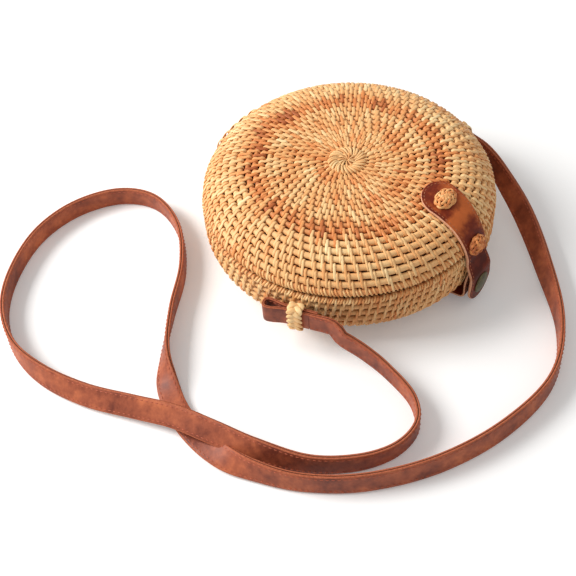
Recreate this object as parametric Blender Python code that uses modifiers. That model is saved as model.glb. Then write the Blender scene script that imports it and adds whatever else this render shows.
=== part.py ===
"""Round rattan shoulder bag, lying on its lower shell with its strap laid out.

Two coiled bowls meet at a seam and are laced together at the back. A leather flap is
knotted to the lid and snaps onto a leather tab on the lower shell. Two woven rings
hold the folded ends of one long strap. Metres, +Z up. The origin is the middle of the
base on the table, the clasp faces -Y and the lacing hinge is at +Y.
"""

import math

import bmesh
import bpy
from mathutils import Matrix, Vector

# Clearances
FIT_GAP = 0.0003
LINING_GAP = 0.0005
MERGE_DISTANCE = 0.00001
SMOOTH_ANGLE = math.radians(40)
TURNED_SMOOTH_ANGLE = math.radians(60)

# Bowls
BAG_RADIUS = 0.100
SEAM_HEIGHT = 0.0437
LID_RISE = 0.0250
WALL = 0.005
ROD_RADIUS = 0.0026
LID_RIM_INSET = 0.0010
CORNER_REACH = 0.034
CORNER_HEIGHT = 0.024
LINING_THICKNESS = 0.0008
DOME_SPREAD = 8.0
DOME_ROUNDNESS = 1.3
TURN_STEPS = 40
ROD_SIDES = 8
DOME_RADIUS_SHARES = (0.0, 0.22, 0.42, 0.58, 0.70, 0.79, 0.86, 0.92)
SLOPE_STEP_SHARE = 0.0001
CORNER_STEPS = 6

# Coiled rows between a bowl's rim row and its middle, close together inside, wider outside
INNER_PITCH = 0.00475
LID_INNER_ROWS = 14
LID_OUTER_ROWS = 6
BOWL_INNER_ROWS = 9
BOWL_OUTER_ROWS = 9
ROW_GROOVE = 0.0018
ROW_CREST_SHARE = 0.44
BASE_DISC_RADIUS = 0.0220
FACE_STEPS = 120

# Lacing at the back, where the two rims are tied
LACE_RADIUS = 0.0008
LACE_COUNT = 9
LACE_PITCH = 0.0048
LACE_REACH = 0.0105
LACE_STEPS = 5

# Leather flap
FLAP_THICKNESS = 0.0020
FLAP_LOBE_HALF_WIDTH = 0.0140
FLAP_WAIST_HALF_WIDTH = 0.0108
FLAP_END_HALF_WIDTH = 0.0130
FLAP_TOP_RADIUS = 0.0565
FLAP_TOP_SHIFT = 0.0050
FLAP_END_SHIFT = -0.0015
FLAP_BEND_BELOW_SEAM = 0.0022
FLAP_STRAIGHT_ABOVE_SNAP = 0.0082
FLAP_STEPS = 12
STRIP_COLUMNS = 4
ROUND_STEPS = 5
TIP_SHARE = 0.6

# Snap fastener
SNAP_HEIGHT = 0.0170
SNAP_CAP_RADIUS = 0.0075
SNAP_CAP_RISE = 0.0014
SNAP_CAP_DOME_SHARES = ((0.45, 0.90), (0.80, 0.68), (1.0, 0.33))
SNAP_BUMP_SHARES = (0.7, 0.67)
SNAP_SHANK_RADIUS = 0.0013
SNAP_SOCKET_RADIUS = 0.0050
SNAP_SOCKET_DEPTH = 0.0016
SNAP_SOCKET_FLOOR = 0.0004
SNAP_BUMP_RADIUS = 0.0019
SNAP_BUMP_REACH = 0.0011
SNAP_FLANGE_RADIUS = 0.0045
SNAP_FLANGE_THICKNESS = 0.0004
SNAP_RIVET_RADIUS = 0.0036
SNAP_RIVET_THICKNESS = 0.0006
SNAP_SIDES = 24
CUT_OVERRUN = 0.002

# Catch tab on the lower shell
TAB_THICKNESS = 0.0014
TAB_STAND_OFF = 0.0006
TAB_HALF_WIDTH = 0.0115
TAB_TOP_BELOW_SEAM = 0.0125
TAB_STRAIGHT_BELOW_SNAP = 0.0045
TAB_END_REACH = 0.0160
TAB_TOUCH_TURN = math.radians(50)
TAB_TURN_STEP = math.radians(2)

# Woven knots
UPPER_KNOT_HALF_WIDTH = 0.0097
UPPER_KNOT_HALF_LENGTH = 0.0067
LOWER_KNOT_HALF_WIDTH = 0.0088
LOWER_KNOT_HALF_LENGTH = 0.0062
KNOT_RISE = 0.0042
KNOT_SIDES = 16
KNOT_RINGS = 10
UPPER_KNOT_RADIUS = 0.0724
UPPER_KNOT_SHIFT = 0.0040
LOWER_KNOT_ABOVE_RIM = 0.0048
CATCH_KNOT_HALF_WIDTH = 0.0060
CATCH_KNOT_HALF_LENGTH = 0.0042
CATCH_KNOT_RISE = 0.0020
CATCH_KNOT_TURN = math.radians(58)

# Strap and the rings that hold it
STRAP_WIDTH = 0.0150
STRAP_THICKNESS = 0.0030
STRAP_EDGE_ROUND = 0.0007
STRAP_POINTS = 80
STRAP_POINTS_PER_STOP = 12
RING_ANGLE = math.radians(73)
RING_HEIGHT = 0.0290
RING_WALL = 0.0024
RING_HALF_LENGTH = 0.0052
RING_CORNER = 0.0020
EYE_THICKNESS = 0.0018
EYE_LIMB_GAP = 0.0009
EYE_REACH = 0.0165
EYE_HALF_OPENING = 0.0020
EYE_OPENING_SHARES = ((0.0, 0.0), (0.3, 0.3), (0.6, 0.85), (0.82, 1.0), (0.95, 0.7))
TAIL_REACH = 0.0140
STRAP_START = 0.0093

# The strap's way over the table: x, y, lift above its rest height in metres, and the
# lean of its upper edge to the left of travel, in degrees. The two ends at the rings
# are worked out from the rings.
STRAP_ROUTE = (
    (-0.0945, -0.0620, 0.0150, 0),
    (-0.0922, -0.0770, 0.0092, 0),
    (-0.0925, -0.0950, 0.0035, 0),
    (-0.0990, -0.1175, 0.0, 0),
    (-0.1135, -0.1298, 0.0, 0),
    (-0.1340, -0.1285, 0.0, 0),
    (-0.1545, -0.1150, 0.0, -5),
    (-0.1725, -0.0910, 0.0, -12),
    (-0.1840, -0.0600, 0.0030, -35),
    (-0.1895, -0.0320, 0.0046, -50),
    (-0.1945, -0.0060, 0.0046, -50),
    (-0.2030, 0.0200, 0.0024, -45),
    (-0.2135, 0.0530, 0.0, -40),
    (-0.2185, 0.0860, 0.0, -25),
    (-0.2140, 0.1165, 0.0, -5),
    (-0.1970, 0.1445, 0.0, 0),
    (-0.1700, 0.1640, 0.0, 0),
    (-0.1350, 0.1755, 0.0, 0),
    (-0.1010, 0.1720, 0.0, 0),
    (-0.0730, 0.1540, 0.0, 0),
    (-0.0625, 0.1270, 0.0, 0),
    (-0.0735, 0.0955, 0.0, 0),
    (-0.1000, 0.0690, 0.0, 0),
    (-0.1330, 0.0500, 0.0, 5),
    (-0.1620, 0.0305, 0.0, 25),
    (-0.1800, 0.0110, 0.0, 78),
    (-0.1912, -0.0130, 0.0, 87),
    (-0.1965, -0.0400, 0.0, 70),
    (-0.1945, -0.0660, 0.0, 25),
    (-0.1840, -0.0960, 0.0, 10),
    (-0.1620, -0.1265, 0.0, 10),
    (-0.1270, -0.1545, 0.0, 12),
    (-0.0840, -0.1735, 0.0, 12),
    (-0.0380, -0.1795, 0.0, 5),
    (0.0030, -0.1640, 0.0, -5),
    (0.0420, -0.1300, 0.0020, -30),
    (0.0700, -0.0990, 0.0080, -42),
    (0.0880, -0.0700, 0.0150, -22),
)

RATTAN = ("rattan", (0.80, 0.58, 0.33), 0.60, 0.0)
LEATHER = ("leather", (0.42, 0.17, 0.08), 0.50, 0.0)
LINING = ("lining", (0.74, 0.66, 0.52), 0.90, 0.0)
BRASS = ("brass", (0.42, 0.38, 0.27), 0.38, 1.0)

# Heights and radii that follow from the sizes above
LID_BOTTOM = SEAM_HEIGHT + FIT_GAP / 2
BASE_TOP = SEAM_HEIGHT - FIT_GAP / 2
RIM_HEIGHT = 2 * ROD_RADIUS + FIT_GAP
FLAP_OFFSET = FIT_GAP + FLAP_THICKNESS / 2
TAB_OFFSET = FIT_GAP + TAB_THICKNESS / 2
TAB_CENTRE = BAG_RADIUS + TAB_STAND_OFF + TAB_OFFSET
TAB_FACE = TAB_CENTRE + TAB_THICKNESS / 2
STUD_TOP = TAB_FACE + FIT_GAP + SNAP_FLANGE_THICKNESS + SNAP_BUMP_REACH
SOCKET_BACK = STUD_TOP + FIT_GAP + SNAP_SOCKET_FLOOR
TONGUE_INNER_FACE = SOCKET_BACK + FIT_GAP
TONGUE_CENTRE = TONGUE_INNER_FACE + FLAP_THICKNESS / 2
TONGUE_OUTER_FACE = TONGUE_INNER_FACE + FLAP_THICKNESS
LIMB_OFFSET = (EYE_LIMB_GAP + EYE_THICKNESS) / 2
RING_HALF_DEPTH = LIMB_OFFSET + EYE_THICKNESS / 2 + FIT_GAP
RING_HALF_RISE = STRAP_WIDTH / 2 + FIT_GAP
RING_CENTRE = BAG_RADIUS + FIT_GAP + RING_WALL + RING_HALF_DEPTH
LID_PIVOT = Vector((0, BAG_RADIUS + 2 * (LACE_RADIUS + FIT_GAP), SEAM_HEIGHT))
FLAP_BEND_HEIGHT = LID_BOTTOM - FLAP_BEND_BELOW_SEAM
FLAP_PIVOT = Vector((0, -(BAG_RADIUS + FLAP_OFFSET + FLAP_THICKNESS / 2), FLAP_BEND_HEIGHT))


def clear_scene():
    """Remove everything that the start-up file put in the scene."""
    for item in list(bpy.data.objects):
        bpy.data.objects.remove(item, do_unlink=True)


def collection(name):
    """Add a collection to the scene."""
    made = bpy.data.collections.new(name)
    bpy.context.scene.collection.children.link(made)
    return made


def own_material(name, finish):
    """Give one piece its own material of a named finish."""
    _, colour, roughness, metallic = finish
    made = bpy.data.materials.new(name + "_" + finish[0])
    made.use_nodes = True
    shader = made.node_tree.nodes["Principled BSDF"]
    shader.inputs["Base Color"].default_value = (*colour, 1)
    shader.inputs["Roughness"].default_value = roughness
    shader.inputs["Metallic"].default_value = metallic
    return made


def place(item, finish):
    """Put an object in the bag's collection with its own material."""
    for holder in list(item.users_collection):
        holder.objects.unlink(item)
    PARTS.objects.link(item)
    item.data.materials.clear()
    item.data.materials.append(own_material(item.name, finish))
    return item


def mesh_object(name, bm, finish):
    """Turn a bmesh into a named object of the bag."""
    data = bpy.data.meshes.new(name)
    bm.to_mesh(data)
    bm.free()
    data.shade_smooth()
    data.set_sharp_from_angle(angle=SMOOTH_ANGLE)
    return place(bpy.data.objects.new(name, data), finish)


def hang_on(item, parent):
    """Parent a piece to a pivot without moving it."""
    item.parent = parent
    item.matrix_parent_inverse = parent.matrix_world.inverted()


def pivot(name, position):
    """Add an empty on a joint's axis."""
    made = bpy.data.objects.new(name, None)
    made.location = position
    PARTS.objects.link(made)
    bpy.context.view_layer.update()
    return made


def turned(name, profile, finish, steps=TURN_STEPS):
    """Turn a profile of radius and height about Z. Both its ends are on the axis."""
    data = bpy.data.meshes.new(name)
    points = [(radius, 0, height) for radius, height in profile]
    data.from_pydata(points, [(i, i + 1) for i in range(len(points) - 1)], [])
    item = place(bpy.data.objects.new(name, data), finish)
    screw = item.modifiers.new("turn", "SCREW")
    screw.steps = steps
    screw.render_steps = steps
    screw.use_merge_vertices = True
    screw.merge_threshold = MERGE_DISTANCE
    screw.use_smooth_shade = True
    shape = bpy.data.meshes.new_from_object(item.evaluated_get(bpy.context.evaluated_depsgraph_get()))
    item.modifiers.clear()
    item.data = shape
    shape.set_sharp_from_angle(angle=TURNED_SMOOTH_ANGLE)
    return item


def dome_height(radius, inset=0):
    """Height of the lid's face above the seam, for its outer face or one set in."""
    reach = min(radius / (BAG_RADIUS - inset), 1)
    return (LID_RISE - inset) * (1 - reach ** DOME_SPREAD) ** (1 / DOME_ROUNDNESS)


def dome_radius(height, inset=0):
    """Radius of the same face at a height above the seam."""
    rise = height / (LID_RISE - inset)
    return (BAG_RADIUS - inset) * (1 - rise ** DOME_ROUNDNESS) ** (1 / DOME_SPREAD)


def dome_profile(inset, foot):
    """The lid's face from the axis outwards and down to a foot above the seam."""
    edge = dome_radius(foot, inset)
    radii = [share * edge / DOME_RADIUS_SHARES[-1] for share in DOME_RADIUS_SHARES]
    radii[-1] = (radii[-2] + edge) / 2
    points = [(radius, SEAM_HEIGHT + dome_height(radius, inset)) for radius in radii]
    return points + [(edge, SEAM_HEIGHT + foot)]


def bowl_profile(inset, top):
    """The lower shell's face from its upper edge down, round the corner, to the axis."""
    reach = CORNER_REACH - inset
    drop = CORNER_HEIGHT - inset
    centre = BAG_RADIUS - CORNER_REACH
    points = [(BAG_RADIUS - inset, top)]
    for step in range(CORNER_STEPS + 1):
        turn = math.pi / 2 * step / CORNER_STEPS
        points.append((centre + reach * math.cos(turn), CORNER_HEIGHT - drop * math.sin(turn)))
    return points + [(0, inset)]


def dome_face(foot):
    """Fine line down the lid's outer face from the axis to a foot above the seam."""
    edge = dome_radius(foot)
    radii = [edge * math.sin(math.pi / 2 * step / FACE_STEPS) for step in range(FACE_STEPS + 1)]
    return [(radius, SEAM_HEIGHT + dome_height(radius)) for radius in radii]


def bowl_face(top):
    """Fine line along the lower shell's outer face from its flat disc to its upper edge."""
    centre = BAG_RADIUS - CORNER_REACH
    line = [(BASE_DISC_RADIUS, 0)]
    for step in range(FACE_STEPS + 1):
        turn = math.pi / 2 * step / FACE_STEPS
        line.append((centre + CORNER_REACH * math.sin(turn), CORNER_HEIGHT * (1 - math.cos(turn))))
    return line + [(BAG_RADIUS, top)]


def coiled(face, inner_rows, outer_rows, outwards):
    """A face line cut into coiled rows. Each row's crest is on the face, with a groove after it."""
    inner_reach = INNER_PITCH * inner_rows
    outer_pitch = (lengths(face)[-1] - inner_reach) / outer_rows
    drop = ROW_GROOVE * outwards
    points = [face[0]]
    for row in range(1, inner_rows + outer_rows + 1):
        pitch = INNER_PITCH if row <= inner_rows else outer_pitch
        groove = inner_reach + pitch * (row - inner_rows)
        rise = pitch * (1 - ROW_CREST_SHARE) / 2
        before = along(face, groove - rise)
        middle = along(face, groove)
        after = along(face, groove + rise)
        chord = math.dist(before, after)
        normal = ((before[1] - after[1]) / chord, (after[0] - before[0]) / chord)
        points += [before, (middle[0] - normal[0] * drop, middle[1] - normal[1] * drop), after]
    radius, height = face[-1]
    return points[:-2] + [(radius - ROW_GROOVE, height)]


def upper_shell():
    """Coiled lid without its last row, closed between its outer and inner faces."""
    foot = FIT_GAP / 2 + RIM_HEIGHT
    outside = coiled(dome_face(foot), LID_INNER_ROWS, LID_OUTER_ROWS, 1)
    inside = dome_profile(WALL, foot)
    return turned("upper_shell", outside + inside[::-1], RATTAN)


def lower_shell():
    """Coiled lower bowl with a flat disc under its middle, without its top row."""
    top = BASE_TOP - RIM_HEIGHT
    outside = coiled(bowl_face(top), BOWL_INNER_ROWS, BOWL_OUTER_ROWS, -1)
    inside = bowl_profile(WALL, top)
    return turned("lower_shell", inside[::-1] + outside[::-1] + [(0, 0)], RATTAN)


def rim_coil(name, height, inset):
    """The last bound row of a bowl, a ring of one rod set in from the widest line."""
    bpy.ops.mesh.primitive_torus_add(
        major_radius=BAG_RADIUS - inset - ROD_RADIUS, minor_radius=ROD_RADIUS,
        major_segments=TURN_STEPS, minor_segments=ROD_SIDES, location=(0, 0, height))
    item = bpy.context.object
    item.name = name
    item.data.shade_smooth()
    return place(item, RATTAN)


def upper_lining():
    """Cloth skin inside the lid."""
    inset = WALL + LINING_GAP
    foot = FIT_GAP / 2 + RIM_HEIGHT
    outside = dome_profile(inset, foot)
    inside = dome_profile(inset + LINING_THICKNESS, foot)
    return turned("upper_lining", outside + inside[::-1], LINING)


def lower_lining():
    """Cloth skin inside the lower bowl."""
    inset = WALL + LINING_GAP
    top = BASE_TOP - RIM_HEIGHT
    outside = bowl_profile(inset, top)
    inside = bowl_profile(inset + LINING_THICKNESS, top)
    return turned("lower_lining", inside[::-1] + outside, LINING)


def tube(name, route, radius, finish):
    """A curve object with a round section along a route."""
    data = bpy.data.curves.new(name, "CURVE")
    data.dimensions = "3D"
    data.bevel_depth = radius
    data.bevel_resolution = 1
    data.use_fill_caps = True
    spline = data.splines.new("POLY")
    spline.points.add(len(route) - 1)
    for point, position in zip(spline.points, route):
        point.co = (*position, 1)
    return place(bpy.data.objects.new(name, data), finish)


def lace_route(face):
    """One strand laced to and fro over the back, along the face of one bowl."""
    route = []
    for index in range(LACE_COUNT):
        across = (index - (LACE_COUNT - 1) / 2) * LACE_PITCH
        turn = math.pi / 2 - across / BAG_RADIUS
        pass_points = []
        for step in range(LACE_STEPS + 1):
            radius, height = face(LACE_REACH * step / LACE_STEPS)
            pass_points.append((radius * math.cos(turn), radius * math.sin(turn), height))
        route += pass_points[::-1] if index % 2 else pass_points
    return route


def hinge_lacing_upper():
    """The lace strand's upper half, which holds the lid's last two rows."""
    lift = LACE_RADIUS + FIT_GAP

    def face(distance):
        height = lift + distance
        return dome_radius(distance) + lift, SEAM_HEIGHT + height

    return tube("hinge_lacing_upper", lace_route(face), LACE_RADIUS, RATTAN)


def hinge_lacing_lower():
    """The lace strand's lower half, which holds the lower bowl's first two rows."""
    lift = LACE_RADIUS + FIT_GAP

    def face(distance):
        return BAG_RADIUS + lift, SEAM_HEIGHT - lift - distance

    return tube("hinge_lacing_lower", lace_route(face), LACE_RADIUS, RATTAN)


def lengths(path):
    """Distance along a path at each of its points."""
    total = [0]
    for first, second in zip(path, path[1:]):
        total.append(total[-1] + math.dist(first, second))
    return total


def leather(name, path, half_widths, shifts, thickness):
    """A leather strip across X along a path of radius towards -Y and height, shifted along X."""
    bm = bmesh.new()
    rows = len(path)
    bmesh.ops.create_grid(bm, x_segments=STRIP_COLUMNS, y_segments=rows - 1, size=1)
    for vert in bm.verts:
        row = round((vert.co.y + 1) / 2 * (rows - 1))
        radius, height = path[row]
        vert.co = (vert.co.x * half_widths[row] + shifts[row], -radius, height)
    item = mesh_object(name, bm, LEATHER)
    solid = item.modifiers.new("leather", "SOLIDIFY")
    solid.thickness = thickness
    solid.offset = 0
    solid.use_even_offset = True
    return item


def round_end(radius):
    """Distances from a round end and the half widths there, from the tip inwards."""
    turns = [math.pi / 2 * (step + TIP_SHARE) / (ROUND_STEPS + TIP_SHARE) for step in range(ROUND_STEPS + 1)]
    return [(radius * (1 - math.cos(turn)), radius * math.sin(turn)) for turn in turns]


def blend(first, second, share):
    """A value that eases from the first to the second as the share goes from 0 to 1."""
    return first + (second - first) * (1 - math.cos(math.pi * share)) / 2


def along(path, distance):
    """Point of a path at a distance from its start."""
    total = lengths(path)
    distance = min(max(distance, 0), total[-1])
    for index in range(1, len(path)):
        if total[index] >= distance:
            share = (distance - total[index - 1]) / (total[index] - total[index - 1])
            first, second = path[index - 1], path[index]
            return tuple(a + (b - a) * share for a, b in zip(first, second))
    return path[-1]


def lid_meridian(lift):
    """Fine path down the lid's front from the flap's top to its rim, raised by lift."""
    path = []
    count = FLAP_STEPS * ROUND_STEPS
    for step in range(count + 1):
        turn = math.pi / 2 * step / count
        radius = FLAP_TOP_RADIUS + (BAG_RADIUS - FLAP_TOP_RADIUS) * math.sin(turn)
        height = dome_height(radius)
        slope = dome_slope(radius)
        norm = math.hypot(slope, 1)
        path.append((radius + lift * slope / norm, SEAM_HEIGHT + height + lift / norm))
    return path


def dome_slope(radius):
    """How fast the lid's face falls at a radius."""
    step = BAG_RADIUS * SLOPE_STEP_SHARE
    inner = dome_height(radius - step)
    outer = dome_height(min(radius + step, BAG_RADIUS))
    return (inner - outer) / (min(radius + step, BAG_RADIUS) - radius + step)


def flap_anchor():
    """The flap's upper part, which two knots hold on the lid."""
    fine = lid_meridian(FLAP_OFFSET)
    fine[-1] = (BAG_RADIUS + FLAP_OFFSET, LID_BOTTOM + FIT_GAP / 2)
    fine.append((BAG_RADIUS + FLAP_OFFSET, FLAP_BEND_HEIGHT + FIT_GAP / 2))
    total = lengths(fine)[-1]
    rounded = round_end(FLAP_LOBE_HALF_WIDTH)
    stations = [distance for distance, _ in rounded]
    widths = [width for _, width in rounded]
    start = stations[-1]
    for step in range(1, FLAP_STEPS + 1):
        share = step / FLAP_STEPS
        stations.append(start + (total - start) * share)
        widths.append(blend(FLAP_LOBE_HALF_WIDTH, FLAP_WAIST_HALF_WIDTH, share))
    path = [along(fine, distance) for distance in stations]
    shifts = [blend(FLAP_TOP_SHIFT, FLAP_END_SHIFT, distance / total) for distance in stations]
    return leather("flap_anchor", path, widths, shifts, FLAP_THICKNESS)


def tongue_path():
    """The hanging part of the flap, from the bend out and straight down over the snap."""
    top = FLAP_BEND_HEIGHT - FIT_GAP / 2
    straight = SNAP_HEIGHT + FLAP_STRAIGHT_ABOVE_SNAP
    path = []
    for step in range(FLAP_STEPS + 1):
        share = step / FLAP_STEPS
        radius = blend(BAG_RADIUS + FLAP_OFFSET, TONGUE_CENTRE, share)
        path.append((radius, top + (straight - top) * share))
    return path + [(TONGUE_CENTRE, SNAP_HEIGHT - FLAP_END_HALF_WIDTH)]


def bored(item, radius, centre):
    """Cut a hole for a snap's shank along Y through a leather piece."""
    bpy.ops.mesh.primitive_cylinder_add(
        vertices=SNAP_SIDES, radius=radius, depth=2 * (FLAP_THICKNESS + CUT_OVERRUN),
        location=centre, rotation=(math.pi / 2, 0, 0))
    cutter = bpy.context.object
    cutter.name = "cut_" + item.name
    for holder in list(cutter.users_collection):
        holder.objects.unlink(cutter)
    CUTTERS.objects.link(cutter)
    cutter.hide_render = True
    cutter.display_type = "WIRE"
    cut = item.modifiers.new("bore", "BOOLEAN")
    cut.operation = "DIFFERENCE"
    cut.object = cutter
    return cutter


def flap_tongue():
    """The flap's free part, which lifts outwards about its bend, with the snap's hole."""
    fine = tongue_path()
    total = lengths(fine)[-1]
    rounded = round_end(FLAP_END_HALF_WIDTH)
    start = total - rounded[-1][0]
    stations = []
    widths = []
    for step in range(FLAP_STEPS):
        share = step / FLAP_STEPS
        stations.append(start * share)
        widths.append(blend(FLAP_WAIST_HALF_WIDTH, FLAP_END_HALF_WIDTH, share))
    for distance, width in reversed(rounded):
        stations.append(total - distance)
        widths.append(width)
    path = [along(fine, distance) for distance in stations]
    item = leather("flap_tongue", path, widths, [FLAP_END_SHIFT] * len(path), FLAP_THICKNESS)
    centre = (FLAP_END_SHIFT, -TONGUE_CENTRE, SNAP_HEIGHT)
    hang_on(bored(item, SNAP_SHANK_RADIUS + FIT_GAP, centre), FLAP_EMPTY)
    return item


def snap_piece(name, profile):
    """A snap part turned about Y. Its profile is radius and distance out from the axis."""
    item = turned(name, profile, BRASS, SNAP_SIDES)
    item.rotation_euler = (math.pi / 2, 0, 0)
    item.location = (FLAP_END_SHIFT, 0, SNAP_HEIGHT)
    return item


def snap_cap():
    """Domed cap on the flap's outside, with its shank through the leather."""
    back = TONGUE_OUTER_FACE + FIT_GAP
    profile = [(0, back + SNAP_CAP_RISE)]
    for across, up in SNAP_CAP_DOME_SHARES:
        profile.append((SNAP_CAP_RADIUS * across, back + SNAP_CAP_RISE * up))
    profile += [
        (SNAP_CAP_RADIUS, back),
        (SNAP_SHANK_RADIUS, back),
        (SNAP_SHANK_RADIUS, SOCKET_BACK + FIT_GAP),
        (0, SOCKET_BACK + FIT_GAP),
    ]
    return snap_piece("snap_cap", profile)


def snap_socket():
    """Cup on the flap's inside that takes the stud."""
    mouth = SOCKET_BACK - SNAP_SOCKET_DEPTH
    bore = SNAP_BUMP_RADIUS + FIT_GAP
    profile = [
        (0, SOCKET_BACK),
        (SNAP_SOCKET_RADIUS, SOCKET_BACK),
        (SNAP_SOCKET_RADIUS, mouth),
        (bore, mouth),
        (bore, SOCKET_BACK - SNAP_SOCKET_FLOOR),
        (0, SOCKET_BACK - SNAP_SOCKET_FLOOR),
    ]
    return snap_piece("snap_socket", profile)


def snap_stud():
    """Stud on the tab's outside, with a round bump that the socket grips."""
    back = TAB_FACE + FIT_GAP
    flange = back + SNAP_FLANGE_THICKNESS
    profile = [
        (0, STUD_TOP),
        (SNAP_BUMP_RADIUS * SNAP_BUMP_SHARES[0], STUD_TOP),
        (SNAP_BUMP_RADIUS, flange + SNAP_BUMP_REACH * SNAP_BUMP_SHARES[1]),
        (SNAP_BUMP_RADIUS, flange),
        (SNAP_FLANGE_RADIUS, flange),
        (SNAP_FLANGE_RADIUS, back),
        (0, back),
    ]
    return snap_piece("snap_stud", profile)


def snap_rivet():
    """Rivet that holds the stud, its head behind the tab and its shank through it."""
    head = TAB_FACE - TAB_THICKNESS - FIT_GAP
    profile = [
        (0, TAB_FACE),
        (SNAP_SHANK_RADIUS, TAB_FACE),
        (SNAP_SHANK_RADIUS, head),
        (SNAP_RIVET_RADIUS, head),
        (SNAP_RIVET_RADIUS, head - SNAP_RIVET_THICKNESS),
        (0, head - SNAP_RIVET_THICKNESS),
    ]
    return snap_piece("snap_rivet", profile)


def corner_point(turn, lift):
    """Point on the lower shell's corner, raised from it, and its way out."""
    centre = BAG_RADIUS - CORNER_REACH
    across = math.cos(turn) / CORNER_REACH
    down = math.sin(turn) / CORNER_HEIGHT
    norm = math.hypot(across, down)
    normal = (across / norm, -down / norm)
    radius = centre + CORNER_REACH * math.cos(turn) + lift * normal[0]
    height = CORNER_HEIGHT - CORNER_HEIGHT * math.sin(turn) + lift * normal[1]
    return radius, height, normal


def tab_path():
    """Down the lower shell behind the snap, then across its corner to the underside."""
    radius = TAB_CENTRE
    foot = SNAP_HEIGHT - TAB_STRAIGHT_BELOW_SNAP
    end_radius, end_height, normal = corner_point(TAB_TOUCH_TURN, TAB_OFFSET)
    path = [(radius, SEAM_HEIGHT - TAB_TOP_BELOW_SEAM), (radius, foot)]
    handle = math.hypot(radius - end_radius, foot - end_height) / 2
    knee = (radius, foot - handle)
    pull = (end_radius - handle * normal[1], end_height + handle * normal[0])
    for step in range(1, FLAP_STEPS + 1):
        share = step / FLAP_STEPS
        rest = 1 - share
        weights = (rest ** 3, 3 * rest ** 2 * share, 3 * rest * share ** 2, share ** 3)
        corners = ((radius, foot), knee, pull, (end_radius, end_height))
        path.append(tuple(sum(w * c[k] for w, c in zip(weights, corners)) for k in range(2)))
    total = 0
    turn = TAB_TOUCH_TURN
    while total < TAB_END_REACH:
        turn += TAB_TURN_STEP
        point = corner_point(turn, TAB_OFFSET)[:2]
        total += math.dist(point, path[-1])
        path.append(point)
    return path


def catch_tab():
    """Leather tab that carries the stud, held under the bowl by a knot."""
    fine = tab_path()
    total = lengths(fine)[-1]
    rounded = round_end(TAB_HALF_WIDTH)
    stations = [distance for distance, _ in rounded]
    widths = [width for _, width in rounded]
    start = stations[-1]
    end = total - stations[-1]
    for step in range(1, FLAP_STEPS):
        stations.append(start + (end - start) * step / FLAP_STEPS)
        widths.append(TAB_HALF_WIDTH)
    for distance, width in reversed(rounded):
        stations.append(total - distance)
        widths.append(width)
    path = [along(fine, distance) for distance in stations]
    item = leather("catch_tab", path, widths, [FLAP_END_SHIFT] * len(path), TAB_THICKNESS)
    bored(item, SNAP_SHANK_RADIUS + FIT_GAP, (FLAP_END_SHIFT, -TAB_CENTRE, SNAP_HEIGHT))
    return item


def knot(name, across, foot, normal, half_width, half_length, rise):
    """A woven knot as an oval dome, standing on a point with its way out."""
    bm = bmesh.new()
    bmesh.ops.create_uvsphere(bm, u_segments=KNOT_SIDES, v_segments=KNOT_RINGS, radius=1)
    everything = bm.verts[:] + bm.edges[:] + bm.faces[:]
    bmesh.ops.bisect_plane(bm, geom=everything, plane_co=(0, 0, 0), plane_no=(0, 0, 1),
                           clear_inner=True)
    rim = [edge for edge in bm.edges if edge.is_boundary]
    bmesh.ops.contextual_create(bm, geom=rim)
    up = Vector((0, -normal[0], normal[1]))
    side = Vector((1, 0, 0))
    frame = Matrix((side, up.cross(side), up)).transposed()
    scale = Matrix.Diagonal((half_width, half_length, rise))
    bmesh.ops.transform(bm, matrix=(frame @ scale).to_4x4(), verts=bm.verts)
    bmesh.ops.recalc_face_normals(bm, faces=bm.faces)
    item = mesh_object(name, bm, RATTAN)
    item.location = (across, -foot[0], foot[1])
    return item


def knot_on_lid(name, across, radius, half_width, half_length):
    """A knot on the flap's face above a radius of the lid, across from its middle."""
    slope = dome_slope(radius)
    norm = math.hypot(slope, 1)
    normal = (slope / norm, 1 / norm)
    lift = FLAP_OFFSET + FLAP_THICKNESS / 2 + FIT_GAP
    foot = (radius + lift * normal[0], SEAM_HEIGHT + dome_height(radius) + lift * normal[1])
    return knot(name, across, foot, normal, half_width, half_length, KNOT_RISE)


def catch_knot():
    """The knot under the bowl that holds the tab's end."""
    lift = TAB_OFFSET + TAB_THICKNESS / 2 + FIT_GAP
    radius, height, normal = corner_point(CATCH_KNOT_TURN, lift)
    return knot("catch_knot", FLAP_END_SHIFT, (radius, height), normal,
                CATCH_KNOT_HALF_WIDTH, CATCH_KNOT_HALF_LENGTH, CATCH_KNOT_RISE)


def ring_frame(side):
    """A ring's centre, its way towards the clasp and its way out of the bag."""
    outwards = Vector((side * math.sin(RING_ANGLE), -math.cos(RING_ANGLE), 0))
    to_clasp = Vector((-side * math.cos(RING_ANGLE), -math.sin(RING_ANGLE), 0))
    return outwards * RING_CENTRE + Vector((0, 0, RING_HEIGHT)), to_clasp, outwards


def chamfered(half_width, half_height, corner):
    """Corner points of a box outline with its corners cut, going round."""
    inner_width = half_width - corner
    inner_height = half_height - corner
    return [
        (half_width, -inner_height), (half_width, inner_height),
        (inner_width, half_height), (-inner_width, half_height),
        (-half_width, inner_height), (-half_width, -inner_height),
        (-inner_width, -half_height), (inner_width, -half_height),
    ]


def closed_spline(data, outline):
    """Add a closed flat outline to a curve."""
    spline = data.splines.new("POLY")
    spline.points.add(len(outline) - 1)
    for point, (across, up) in zip(spline.points, outline):
        point.co = (across, up, 0, 1)
    spline.use_cyclic_u = True


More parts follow.
